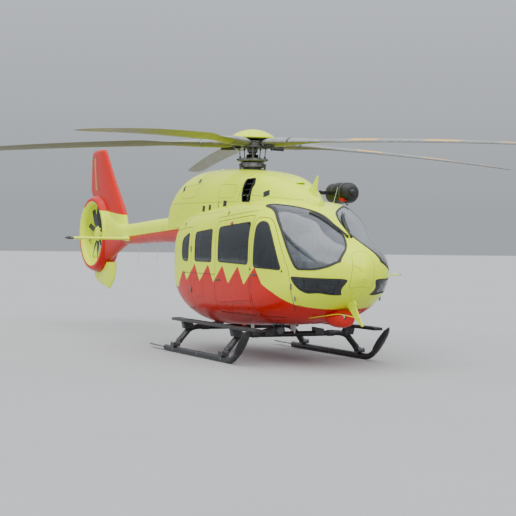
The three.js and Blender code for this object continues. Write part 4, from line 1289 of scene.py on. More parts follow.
def rivets_on(skin, sign, line, bend, pitch):
    """Spots for fasteners at an even pitch along a side-view line, closed if it has a bend."""
    line = spaced(rounded(line, bend) if bend else line, pitch, bend > 0)
    return [(*on_skin(skin, sign, y, z), (0, 1, 0)) for y, z in line]


def fastener(radius):
    """A domed fastener head about the origin."""
    head = [(0, 0.42), (0.45, 0.36), (0.8, 0.16), (1.0, -0.3), (0, -0.3)]
    return Shape().turned([(r * radius, h * radius) for r, h in head], sides=8)


def arc_path(points, bend, step=30):
    """A path with rounded corners and even steps."""
    return spaced(rounded(points, bend, 10, closed=False), step, closed=False)


class HELI_OT_roof(bpy.types.Operator):
    """Gearbox fairing, engine cowlings, intakes, vents and exhausts"""

    bl_idname = "heli.roof"
    bl_label = "Roof and engines"

    intake = [(-1060, 2372), (-1040, 2579), (-1056, 2650), (-965, 2742), (-778, 2732), (-802, 2579),
        (-855, 2372)]
    # Slots along the cowling's foot and shoulder: both ends and the width
    vents = [((314, 2232), (298, 2328), 92), ((102, 2240), (86, 2342), 78), ((-184, 2260), (-188, 2400), 18),
             ((-380, 2270), (-388, 2400), 108), ((1180, 2578), (1232, 2660), 80),
             ((640, 2698), (664, 2768), 80),
             ((-1401, 2452), (-1366, 2534), 128)]

    def execute(self, context):
        mast_hole = Shape().rod((0, 0, 2600), (0, 0, 3100), 190, 48)
        cowl = carve(solid("cowl"), ("-", solid("cowl_inner")), ("-", solid("outer")), ("-", mast_hole))
        mouths = (("-", across(rounded(self.intake, 34), sign * 200, sign * 900)) for sign in (-1, 1))
        front = carve(cowl, ("&", Shape().block(-1500, 1500, -3000, -760, 1900, 3200)), *mouths)
        piece("gearbox_fairing_skin", front, "livery_paint dark_metal", "gearbox_fairing", skin=ROOF, deep=8)
        for side, sign in SIDES:
            toward, mouth = unit((sign * 0.3, 1, 0.05)), np.array((sign * 400, 1890, 2400))
            bore = Shape().rod(mouth - 300 * toward, mouth + 500 * toward, 172, 48)
            x0, x1 = sorted((0.2 * sign, sign * 1500))
            half = carve(cowl, ("&", Shape().block(x0, x1, -759.6, 3000, 1900, 3200)), ("-", bore))
            name = "engine_cowling_" + side
            piece(name + "_skin", half, "livery_paint dark_metal", name, skin=ROOF, deep=8)
            self.exhaust("exhaust_" + side, mouth - toward * 240, toward)
            self.duct("intake_" + side, sign)
            trim = Shape()
            for low_end, high_end, width in self.vents:
                trim.ribbon(ROOF, [low_end, high_end], sign, width, -5, 1.2)
            piece("cowling_vents_" + side, trim, "black_paint")
        self.seams()
        engines = frame["nodes"]["engines_and_gearbox"].data.materials
        engines.clear()
        engines.append(FINISHES["dark_metal"])
        return {"FINISHED"}

    def exhaust(self, name, foot, toward):
        """A rolled lip, a clamp band, a back plate and inner rings."""
        lip = [(140, 0), (160, 0), (160, 250), (165, 260), (166, 278), (160, 288), (150, 290), (143, 284),
            (140, 272), (140, 20)]
        pipe = Shape().turned(lip, foot, toward, 64).turned(rect(161, 164.5, 212, 232), foot, toward, 64)
        pipe.turned(rect(0, 139, 30, 36), foot, toward)
        for r in (40, 76, 112):
            pipe.turned(rect(r, r + 6, 36, 60), foot, toward, 40)
        piece(name + "_pipe", pipe, "burnt_steel", name)

    def duct(self, name, sign):
        """A dark intake duct with an upright splitter and a wire screen."""
        duct = Shape().block(sign * 300 - 4, sign * 300 + 4, -1110, -800, 2380, 2720)
        duct.block(*sorted((sign * 290, sign * 540)), -1130, -765, 2366, 2402)
        lip = Shape().rim(ROOF, rounded(self.intake, 34), sign, 16, -22, 1.5, step=10)
        piece(name + "_lip", lip, "black_paint")
        for z in (2470, 2560, 2650):
            duct.rod(*((sign * (ROOF.side(y, z) - 26), y, z) for y in (-1085, -835)), 7, 8, 1)
        duct.rod(*((sign * (ROOF.side(-960, at) - 22), -960, z) for at, z in ((2420, 2400), (2700, 2705))),
            16, 12, 1)
        piece(name + "_duct", duct, "black_paint grip_tread")

    def seams(self):
        seams = Shape()
        for y in (-762, 560):
            seam_round(seams, ROOF, y, 16, 164)
        for sign in (-1, 1):
            seams.seam(ROOF, sign, [(-2040, 2392), (-1500, 2440), (-762, 2500)])
            seams.seam(ROOF, sign, [(-750, 2380), (1700, 2372)])
            seams.seam(ROOF, sign, [(640, 2470), (640, 2690), (1250, 2640), (1250, 2450)], 60)
            seams.seam(ROOF, sign, [(-640, 2440), (-640, 2640), (-150, 2660), (-150, 2440)], 50)
        piece("cowling_seams", seams, "seam_line", slot="yellow_composite")


def foil(share):
    """Half thickness of a foil at a share of its chord."""
    front = 0.2969 * math.sqrt(share) - 0.126 * share - 0.3516 * share**2
    return front + 0.2843 * share**3 - 0.1036 * share**4


def foil_ring(radius, chord, thick, offset=0, z=0, share=1.0, count=28):
    """A rotor section, a round root at share 0 and a cambered foil at share 1. Its nose is at -x."""
    ring = []
    for angle in fan(count):
        c, s = math.cos(angle), math.sin(angle)
        along = 0.5 * (1 - c)
        height = 4.992 * foil(along) * np.sign(s) * (1.0 if s > 0 else 0.82) + 0.10 * along * (1 - along)
        ring.append((offset - 0.5 * c * chord, -radius, z + (height * share + 0.5 * s * (1 - share)) * thick))
    return ring


def fan(count, shift=0.0):
    """Even angles round a turn, moved on by a share of a step."""
    return [2 * math.pi * (k + shift) / count for k in range(count)]


def polar(angle, radius, z):
    """A point round the mast, by its angle from the nose."""
    return radius * math.sin(angle), -radius * math.cos(angle), z


def blade_shape():
    """One blade that points to the nose, with its edge strip, cuff clamps and lag damper."""
    # Radius, chord, thickness, middle line's offset, share of the foil
    stations = [
        (190, 150, 100, 0, 0), (300, 186, 124, 0, 0), (480, 244, 148, 0, 0), (700, 250, 142, 0, 0.1),
        (900, 240, 124, 0, 0.25), (1150, 216, 92, 2, 0.6), (1350, 206, 66, 6, 0.9), (1600, 256, 54, 20, 1),
        (1800, 298, 50, 30, 1), (2500, 300, 46, 30, 1), (3600, 300, 41, 30, 1), (4600, 300, 37, 30, 1),
        (5050, 296, 33, 30, 1), (5230, 262, 27, 40, 1), (5330, 212, 22, 52, 1), (5390, 160, 16, 62, 1),
        (5399.5, 138, 10, 66, 1),
    ]
    rows = smooth_rows(stations, 5)
    level = lambda r: BLADE_Z - BLADE_DROOP * (r / ROTOR_RADIUS) ** 2
    rings = []
    for r, chord, thick, offset, share in rows:
        pitch = math.radians(np.interp(r, (300, 900, 1800, 3600, ROTOR_RADIUS), (0, -7, -14, -11, -4)))
        cos, sin = math.cos(pitch), math.sin(pitch)
        flat = foil_ring(r, chord, thick, offset, 0, min(max(share, 0), 1))
        rings.append([(x * cos + h * sin, y, level(r) - x * sin + h * cos) for x, y, h in flat])
    shape = Shape().loft(rings)
    size = len(rings[0])
    for f in range(len(shape.faces) - 2):
        if rows[f // size][0] > EDGE_STRIP and (f % size < 3 or f % size > size - 4):
            shape.paints[f] = 1
    for r, width, height in ((262, 182, 116), (820, 252, 134)):
        clamp = [(-24, -6), (-20, 4), (20, 4), (24, -6)]
        rings = [foil_ring(r + at, width + grow, height + grow, 0, level(r), 0.05) for at, grow in clamp]
        shape.loft(rings, 2)
    for start, end, radius in ((-290, -520, 25), (-330, -490, 31)):
        shape.rod((-92, start, 3262), (-92, end, 3262), radius, 20, 3)
    for y in (-300, -510):
        shape.rod((-92, y, 3226), (-92, y, 3330), 11, 12, 2)
    return shape


class HELI_OT_rotor(bpy.types.Operator):
    """Main rotor: blades, hub, cap, swashplates and links"""

    bl_idname = "heli.rotor"
    bl_label = "Main rotor"

    def execute(self, context):
        arms = fan(5, FIRST_BLADE / 72)
        self.blades(arms)
        self.head(arms)
        self.cap()
        self.swashplate()
        self.boot()
        return {"FINISHED"}

    def blades(self, arms):
        blade = blade_shape().mesh("blade")
        centre = Matrix.Translation(Vector(MAST_AXIS))
        for k, arm in enumerate(arms, 1):
            mesh, name = blade.copy(), f"blade_{k}"
            mesh.transform(centre @ Matrix.Rotation(arm, 4, "Z") @ centre.inverted())
            finishes = "blade_skin worn_edge steel black_paint"
            piece(name + "_skin", mesh, finishes, name, body="main_rotor", angle=38)

    def head(self, arms):
        """Hub, rotating swashplate and scissors, and each arm's link and bolts."""
        head = Shape().turned([
            (0, 2925), (62, 2925), (62, 3180), (84, 3196), (84, 3240), (120, 3262), (236, 3265),
            (250, 3275), (250, 3290), (232, 3300), (232, 3340), (250, 3350), (250, 3366), (236, 3375),
            (110, 3375), (90, 3400), (90, 3440), (66, 3452), (66, 3480), (0, 3480),
        ], sides=72)
        head.turned([(70, 3045), (222, 3045), (238, 3058), (240, 3072), (226, 3093), (70, 3095)], sides=64)
        for arm in arms:
            link = arm + math.radians(25)
            head.rod(polar(link, 205, 3090), polar(link, 222, 3262), 9, 14)
            for r, z in ((207, 3108), (221, 3250)):
                head.ball(polar(link, r, z), 19, paint=1, sides=16)
            head.rod(polar(link, 196, 3070), polar(link, 262, 3070), 15, 14, 1)
            for bolt in (arm - 0.16, arm + 0.16):
                for low, high, radius, sides in ((3250, 3392, 13, 12), (3376, 3388, 22, 6)):
                    head.rod(polar(bolt, 215, low), polar(bolt, 215, high), radius, sides, 1)
            head.rod(polar(arm, 150, 3392), polar(arm, 262, 3392), 24, 16)
        # A dark ring just under the cap's rim, partly the head's dark metal and partly painted shade: it
        # stands for the shade seen through the cap's cut-outs
        head.turned([(92, 3400), (316, 3397), (334, 3404), (330, 3410), (92, 3412)], sides=72, paint=1)
        for angle in (math.pi - 0.4, -0.4):
            scissors = ((236, 3075), (292, 3130), (150, 3205), (84, 3215))
            head.tube([polar(angle, r, z) for r, z in scissors], 12, 10, 1)
        piece("rotor_head_parts", head, "steel dark_metal", "rotor_head", body="main_rotor")

    def cap(self):
        cap = Shape().turned([
            (70.6, 3420), (332, 3410), (346, 3413), (352, 3421), (349, 3432), (320, 3462), (270, 3492),
            (210, 3520), (140, 3543), (70, 3556), (0, 3560), (0, 3538), (70.6, 3520),
        ], sides=72)
        piece("rotor_cap_skin", cap, "yellow_paint", "rotor_cap", body="main_rotor", angle=50)
        spots = [((300 * c, 300 * s, 3476), (c * 0.5, s * 0.5, 0.86), (0, 0, 1))
                 for c, s in ((math.cos(a), math.sin(a)) for a in fan(10, 0.5))]
        scattered("rotor_cap_screws", spots, fastener(9), "steel", body="main_rotor")

    def swashplate(self):
        """The fixed swashplate with its three actuators."""
        plate = Shape().turned([
            (68, 2950), (190, 2950), (200, 2958), (200, 2986),
            (192, 3000), (190, 3026), (182, 3034), (68, 3034),
        ], sides=64)
        for angle in fan(3, 0.2):
            at = lambda r, z: polar(math.pi - angle, r, z)
            plate.rod(at(196, 2985), at(240, 2985), 20, 16, 1)
            plate.rod(at(226, 2700), at(226, 2985), 16, 16, 1)
            plate.rod(at(226, 2700), at(226, 2880), 26)
        piece("swashplate_parts", plate, "steel dark_metal", "fixed_swashplate")

    def boot(self):
        """The mast's bellows and the rim of its hole in the fairing."""
        boot = Shape()
        for k in range(7):
            r, z = 94 if k % 2 else 88, 3100 + 8 * k
            boot.turned([(r, z), (r + 8, z + 4), (r, z + 8), (64, z + 8), (64, z)], sides=40)
        piece("mast_boot", boot, "rubber", body="main_rotor")
        ring = [(192 * math.cos(a), 192 * math.sin(a)) for a in fan(72)]
        rim = Shape().tube([(x, y, ROOF.top(x, y) + 3) for x, y in ring], 9, 10, closed=True)
        piece("mast_hole_rim", rim, "rubber")


# z, leading edge, trailing edge, thickness
FIN_ROWS = [
    (1900, 5480, 6700, 105), (2280, 5590, 7100, 95), (2700, 5960, 7560, 85), (3000, 6250, 7600, 75),
    (3480, 6660, 7560, 62), (3560, 6738, 7490, 54), (3585, 6778, 7430, 40), (3595, 6830, 7360, 16),
]
KEEL_ROWS = [
    (1290, 6052, 7330, 46), (1120, 6096, 7330, 42), (960, 6150, 7330, 38), (850, 6292, 7010, 32),
    (775, 6398, 6580, 20), (748, 6436, 6470, 6),
]


def fin_half(share, thick):
    """Half thickness of the fin at a share of its chord."""
    return thick * 9.9 * foil(share)


def fin_ring(row, count=36):
    z, lead, trail, thick = row
    shares = 0.5 * (1 - np.cos(np.linspace(0, math.pi, count)))
    left = [(fin_half(s, thick), lead + (trail - lead) * s, z) for s in shares]
    return left + [(-x, y, z) for x, y, _ in reversed(left[1:-1])]


def hoop(y, half, rise, z, count=64):
    """A section of the boom or its neck."""
    return section(BODY.angles(count), y, half, z - rise, z, z + rise, 2.5, 2.5)


class HELI_OT_tail(bpy.types.Operator):
    """Tail boom, stabiliser, fin and the ring round the tail fan"""

    bl_idname = "heli.tail"
    bl_label = "Tail"

    def execute(self, context):
        self.boom()
        self.shroud()
        self.stabiliser()
        return {"FINISHED"}

    def boom(self):
        """The boom with its seams, rivets and antennas."""
        rows = smooth_rows(BOOM, 12)
        boom = carve(Shape().loft([hoop(*r) for r in rows]), ("-", solid("outer")), ("-", solid("cowl")))
        piece("tail_boom_skin", boom, "livery_paint", "tail_boom", slot="yellow_metal", angle=30)
        at = lambda y: [float(np.interp(y, rows[:, 0], rows[:, k])) for k in (1, 2, 3)]
        bands, spots = Shape(), []
        for y in (2050, 3150, 4250, 5462):
            ring = hoop(y, *at(y), 72)
            facing = np.array([unit(p - (0, y, at(y)[2])) for p in ring])
            bands.strip(ring, facing, *SEAM_STRIP, closed=True)
            for near in (y - 30, y + 30):
                if near < 5475:
                    middle = (0, near, at(near)[2])
                    spots += [(p, unit(p - middle), (0, 1, 0)) for p in hoop(near, *at(near), 28)]
        for y in np.arange(2100, 5400, 60.0):
            half, rise, z = at(y)
            for sign in (-1, 1):
                for angle in (0.55, -0.6):
                    c, s = math.cos(angle) ** 0.8, math.copysign(abs(math.sin(angle)) ** 0.8, angle)
                    spots.append(((sign * half * c, y, z + rise * s), (sign * c, 0, s), (0, 1, 0)))
        piece("tail_boom_seams", bands, "seam_line")
        rivet = fastener(looks().rivet_size * 0.8)
        scattered("tail_boom_rivets", spots, rivet, "livery_paint", slot="yellow_metal")
        whips = Shape()
        for y in (3900, 4850):
            whip = [(0, 0), (18, 0), (15, 14), (6, 30), (4, 0.1 * y - 60), (0, 0.1 * y - 58)]
            whips.turned(whip, (0, y, at(y)[2] - at(y)[1] + 4), (0, 0.06, -1), 14)
        z = at(2900)[2] + at(2900)[1]
        whips.mast(0, 9, 8, ((2820, 3000, z - 6), (2840, 2995, z + 60), (2872, 2980, z + 118)))
        piece("tail_boom_antennas", whips, "white_paint")

    def shroud(self):
        """Ring, fin, keel and the neck that joins them to the boom, with the fin's marks and lamp."""
        profile = [(588, -120), (658, -190), (728, -190), (790, -80), (790, 80), (728, 190), (658, 190),
            (588, 120)]
        ring = Shape().turned([tuple(p) for p in rounded(profile, 46, 8)], (0, FAN_Y, FAN_Z), (1, 0, 0), 120)
        fine = smooth_rows(FIN_ROWS, 6)
        fin = Shape().loft([fin_ring(r) for r in fine])
        neck_rows = [(5480.4, 125, 195, 1855), (5800, 134, 285, 1852), (6200, 152, 420, 1850),
            (6750, 190, 620, 1850)]
        neck = Shape().loft([hoop(*r) for r in smooth_rows(neck_rows, 8)])
        keel = Shape().loft([fin_ring(r, 24) for r in KEEL_ROWS])
        hole = Shape().rod((-500, FAN_Y, FAN_Z), (500, FAN_Y, FAN_Z), 640, 96)
        shroud = carve(carve(carve(fin, ("+", neck), ("+", keel)), ("-", hole)), ("+", ring))
        piece("tail_shroud_skin", shroud, "livery_paint", "tail_shroud", slot="red_composite", angle=32)
        # Rudder gap, the tab's gap, and between them a tan band of painted highlight that stands for a lit
        # edge of the fin
        marks = Shape()
        for sign in (-1, 1):
            for share, width, low, high, paint in (
                (0.58, 20, 2560, 3500, 0), (0.86, 10, 2660, 3470, 0), (0.71, 96, 2760, 3430, 1),
            ):
                line = []
                for z in np.linspace(low, high, 30):
                    lead, trail, thick = (float(np.interp(z, fine[:, 0], fine[:, k])) for k in (1, 2, 3))
                    line.append((sign * fin_half(share, thick), lead + share * (trail - lead), z))
                marks.strip(np.array(line), np.tile((sign, 0.0, 0), (30, 1)), width, -5, 1.5, paint)
        piece("fin_seams", marks, "seam_line ochre_band", slot="red_composite")
        piece("tail_lamp", Shape().ball((0, 7558, 3380), 20, (0.7, 1, 1.4)), "red_lamp")

    def stabiliser(self):
        """The wing, with an end rib each side and its root fairings."""

        def wing_ring(x, shorter=0.0, grow=0.0):
            shares = 0.5 * (1 - np.cos(np.linspace(0, math.pi, 20)))
            length = STABILISER_CHORD - shorter + 2 * grow
            lead = STABILISER_Y - length / 2
            upper = [(lead + length * s, fin_half(s, 28 + grow)) for s in shares]
            around = upper + [(y, -h) for y, h in upper[-2:0:-1]]
            return [(x, y, STABILISER_Z + h) for y, h in around]

        wing = Shape().loft([wing_ring(*r) for r in (
            (-1310, 60), (-1306, 20), (-1290,), (-640,), (0,), (640,), (1290,), (1306, 20), (1310, 60))])
        for sign in (-1, 1):
            rib = ((1250, 0), (1290, 0), (1306, 20), (1311, 60))
            wing.loft([wing_ring(sign * x, shorter, 0.6) for x, shorter in rib], 1)
            wing.loft([wing_ring(sign * x, 0, grow) for x, grow in ((120, 26), (168, 16), (190, 1))])
        piece("stabilizer_skin", wing, "yellow_paint dark_metal", "horizontal_stabilizer", angle=32)


class HELI_OT_tail_fan(bpy.types.Operator):
    """Tail fan wheel and the fixed vanes behind it"""

    bl_idname = "heli.tail_fan"
    bl_label = "Tail fan"

    def execute(self, context):
        y, z = FAN_Y, FAN_Z
        hub = [(0, 1), (158, 1), (166, 8), (165, 30), (150, 70), (122, 92), (90, 105), (40, 113), (0, 115)]
        hub = Shape().turned(hub, (20, y, z), (-1, 0, 0), 64)
        piece("tail_fan_hub", hub, "yellow_paint", "tail_fan", body="tail_fan_rotor", slot="dark_steel")
        rings = []
        for r in np.linspace(128, 574, 22):
            share = (r - 128) / 446
            cos, sin = math.cos(0.95 - 0.55 * share), math.sin(0.95 - 0.55 * share)
            flat = foil_ring(0, 62 + 34 * min(share * 3, 1), 17 - 9 * share, count=20)
            rings.append([(r, a * cos - b * sin, a * sin + b * cos) for a, _, b in flat])
        blade = Shape().loft(rings).rod((100, 0, 0), (150, 0, 0), 22, 14)
        turns = [2 * math.pi * (k + (k % 2) * 0.12) / 10 for k in range(10)]
        spots = [((-25, y, z), (-1, 0, 0), (0, -math.sin(a), math.cos(a))) for a in turns]
        scattered("tail_fan_blades", spots, blade, "dark_metal", body="tail_fan_rotor")
        centre = [(0, 1), (140, 1), (150, 10), (150, 112), (138, 134), (118, 150), (60, 168), (0, 172)]
        centre = Shape().turned(centre, (20.4, y, z), (1, 0, 0), 64)
        piece("stator_hub", centre, "yellow_paint", "fan_stator")
        flat = foil_ring(0, 58, 15, count=16)
        vane = Shape().loft([[(r, a, b) for a, _, b in flat] for r in (120, 350, 592)])
        turns = [(math.cos(a), math.sin(a)) for a in fan(10, 0.3)]
        spots = [((105, y, z), (0, s, -c), (0, c, s)) for c, s in turns]
        scattered("stator_vanes", spots, vane, "yellow_paint")
        spots = [((sign * 191, y + 700 * math.cos(a), z + 700 * math.sin(a)), (sign, 0, 0), (0, 0, 1))
                 for a in fan(36) for sign in (-1, 1)]
        rivet = fastener(looks().rivet_size)
        scattered("duct_ring_rivets", spots, rivet, "livery_paint", slot="red_composite")
        return {"FINISHED"}


class HELI_OT_skids(bpy.types.Operator):
    """Skid tubes, cross tubes, clamps and boarding steps"""

    bl_idname = "heli.skids"
    bl_label = "Skids"

    def execute(self, context):
        bolts = []
        for side, sign in SIDES:
            x = sign * SKID_X
            self.skid("skid_" + side, x)
            self.step("step_" + side, sign * 990)
            feet = [(x + dx, y + dy, 157) for _, y in CROSSINGS for dx in (-46, 46) for dy in (-52, 52)]
            bolts += [(foot, (0, 0, 1), (1, 0, 0)) for foot in feet]
        for name, y in CROSSINGS:
            self.cross_tube(name + "_cross_tube", y)
        scattered("clamp_bolts", bolts, Shape().rod((0, 0, -6), (0, 0, 9), 13, 6), "steel")
        return {"FINISHED"}

    def skid(self, name, x):
        """A bent tube with a flat blade at its upturned front, a tail plate, a wear strip and bands."""
        path = arc_path([(x, 718, 49), (x, -1760, 49), (x, -1905, 118), (x, -2318, 530)], 210, 26)
        radii = np.full(len(path), 45.0)
        radii[:3] = (30, 40, 44)
        radii[-4:] = (26, 20, 14, 8)
        skid = Shape().tube(path, radii, 28)
        blade = [(20, 44, 46), (110, 66, 46), (260, 78, 36), (400, 70, 26), (500, 48, 18), (560, 24, 12)]
        skid.ovals((x, -1905, 118), unit((0, -413, 412)), (1, 0, 0), unit((0, 1, 1)), blade + [(580, 8, 6)])
        tail = ((640, 34, 50), (900, 34, 50), (1200, 30, 52), (1320, 24, 58), (1338, 16, 64))
        skid.loft([[(x + a, y, z + b) for a, b in rect(-w, w, 0, 10)] for y, w, z in tail])
        skid.block(x - 26, x + 26, -1650, 680, 0, 12, 1)
        for y in np.arange(-1560, 660, 240.0):
            skid.block(x - 31, x + 31, y - 26, y + 26, 3, 30, 1)
        for y in (-1480, 300, -620, 660):
            skid.turned(rect(45.5, 48.8, -16, 16), (x, y, 49), (0, 1, 0), 28, 1)
        piece(name + "_tube", skid, "skid_black dark_metal", name)

    def step(self, name, x):
        """A boarding step with rounded ends and four treads."""
        outline = rounded(rect(x - 75, x + 75, 484, 530), 14, 4)
        ends = ((-2300, 0.8), (-2294, 0.96), (-2284, 1), (689, 1), (699, 0.96), (705, 0.8))
        rings = [[(x + (a - x) * s, y, 507 + (b - 507) * s) for a, b in outline] for y, s in ends]
        step = Shape().loft(rings)
        for y0, y1 in ((-2240, -1640), (-1400, -760), (-560, 220), (400, 660)):
            step.block(x - 66, x + 66, y0, y1, 527, 531.5, 1)
        piece(name + "_board", step, "skid_black grip_tread", name, bevel=0.001)

    def cross_tube(self, name, y):
        """A cross tube with a fairing, saddle and collar on each leg, and its clamps under the floor."""
        half = lambda s: [(s * 480, y, 396), (s * 800, y, 402), (s * 925, y, 366), (s * 1150, y, 116)]
        tube = Shape().pipe(half(-1)[::-1] + half(1), 150, 30, 42, 28)
        fairing = ((0, 46, 44), (30, 70, 44), (200, 66, 44), (222, 46, 44))
        saddle = [(y - 74, 95), (y + 74, 95), (y + 74, 140), (y + 40, 156), (y - 40, 156), (y - 74, 140)]
        bracket = [(868, 372), (1020, 372), (1044, 470), (1044, 482), (900, 482), (860, 430)]
        clamp = [(350, 380), (490, 380), (500, 470), (340, 500)]
        for sign in (-1, 1):
            x, leg = sign * SKID_X, (sign * 225, 0, -250)
            tube.ovals((sign * 940, y, 352), unit(leg), (0, 1, 0), np.cross(unit(leg), (0, 1, 0)), fairing)
            tube.prism(rounded(saddle, 14, 4), 0, x - 56, x + 56, 1)
            tube.turned([(43, -26), (52, -20), (52, 20), (43, 26)], (sign * 1092, y, 182), leg, 28, 1)
            for outline, bend, deep in ((bracket, 16, 50), (clamp, 14, 56)):
                outline = rounded([(sign * a, b) for a, b in outline], bend, 4)
                tube.prism(outline, 1, y - deep, y + deep, 1)
            collar = [(43, -60), (49, -54), (49, 54), (43, 60)]
            tube.turned(collar, (sign * 640, y, 399), (1, 0, 0), 28, 1)
        piece(name + "_skin", tube, "skid_black dark_metal", name, bevel=0.0015)


class HELI_OT_hoist(bpy.types.Operator):
    """Rescue hoist: bracket, swinging arm, covered drum and hook"""

    bl_idname = "heli.hoist"
    bl_label = "Hoist"

    def execute(self, context):
        x, y = 800, -640  # the arm's pivot
        self.bracket(x, y)
        arm = Shape()
        self.beam(arm, x, y)
        self.drum(arm, x + 455, y - 60)
        self.cable(arm, x + 430, y + 120)
        self.rest(arm, x, y)
        finishes, slot = "black_paint steel cover_shell webbing red_paint", "black_cover"
        piece("hoist_drum_and_arm", arm, finishes, "hoist", body="hoist_arm", slot=slot, bevel=0.0015)
        return {"FINISHED"}

    def bracket(self, x, y):
        plan = [(420, y - 90), (x + 40, y - 62), (x + 58, y), (x + 40, y + 62), (420, y + 90)]
        bracket = Shape().prism(rounded(plan, 30), 2, 2422, 2459)
        bracket.prism(rounded([(560, 2300), (x - 10, 2425), (560, 2425)], 20), 1, y - 16, y + 16)
        bracket.rod((x, y, 2372), (x, y, 2459), 50, 32, 1)
        bracket.turned([(51, 2384), (58, 2390), (58, 2404), (51, 2410)], (x, y, 0), sides=32, paint=1)
        piece("hoist_bracket_parts", bracket, "black_paint dark_metal", "hoist_bracket", bevel=0.002)

    def beam(self, arm, x, y):
        arm.rod((x, y, 2460.5), (x, y, 2592), 47, 32, 1)
        plan = [
            (x - 44, y - 48), (x + 200, y - 44), (x + 560, y - 40),
            (x + 560, y + 40), (x + 200, y + 44), (x - 44, y + 48),
        ]
        arm.prism(rounded(plan, 26), 2, 2532, 2588)
        for bolt in (x + 90, x + 200):
            arm.rod((bolt, y, 2588), (bolt, y, 2602), 18, 6, 1)

    def drum(self, arm, x, y):
        """The drum under its cover: a rounded shell, fuller in the middle, with straps."""

        def ring(along, r, lift, grow=0):
            size = (r + grow) * np.array((1.15, 1.06))
            points = []
            for a in BODY.angles(48):
                c, s = math.cos(a), math.sin(a)
                points.append((x + size[0] * math.copysign(abs(c) ** 0.86, c), y + along,
                               2562 + lift * 0.4 + size[1] * math.copysign(abs(s) ** 0.9, s)))
            return points

        rows = [
            (-330, 52, 0), (-314, 96, 0), (-270, 132, 0), (-180, 150, 6), (0, 156, 10),
            (180, 150, 6), (270, 130, 0), (314, 94, 0), (330, 50, 0),
        ]
        arm.loft([ring(*r) for r in smooth_rows(rows, 6)], 2)
        strap = ((-16, 1), (-14, 4), (14, 4), (16, 1))
        for along, r in ((-200, 150), (30, 156), (215, 147)):
            arm.loft([ring(along + step, r, 6, grow) for step, grow in strap], 3)
        arm.ball((x, y - 332, 2568), 58, (1, 0.6, 0.9))

    def cable(self, arm, x, y):
        """Cable guide, red bumper, cable and hook."""
        arm.turned([(0, 2470), (46, 2470), (52, 2452), (40, 2432), (0, 2432)], (x, y, 0), sides=28, paint=1)
        arm.rod((x, y, 2350), (x, y, 2440), 5, 10, 1)
        bumper = [(0, 2431), (34, 2431), (40, 2420), (40, 2402), (30, 2392), (0, 2392)]
        arm.turned(bumper, (x, y, 0), sides=28, paint=4)
        hook = ((0, 2400), (0, 2382), (16, 2374), (22, 2362), (12, 2353), (-6, 2353), (-14, 2360))
        arm.pipe([(x + a, y, z) for a, z in hook], 8, 4, 6, 12)

    def rest(self, arm, x, y):
        """The block under the drum and the hook's rest."""
        block = [(x + 300, 2424), (x + 470, 2424), (x + 480, 2470), (x + 290, 2476)]
        arm.prism(rounded(block, 12), 1, y - 330, y - 250, 4)
        rest = ((400, 2440), (400, 2380), (430, 2368), (440, 2392))
        arm.pipe([(x + a, y - 290, z) for a, z in rest], 14, 8, 9, 12)


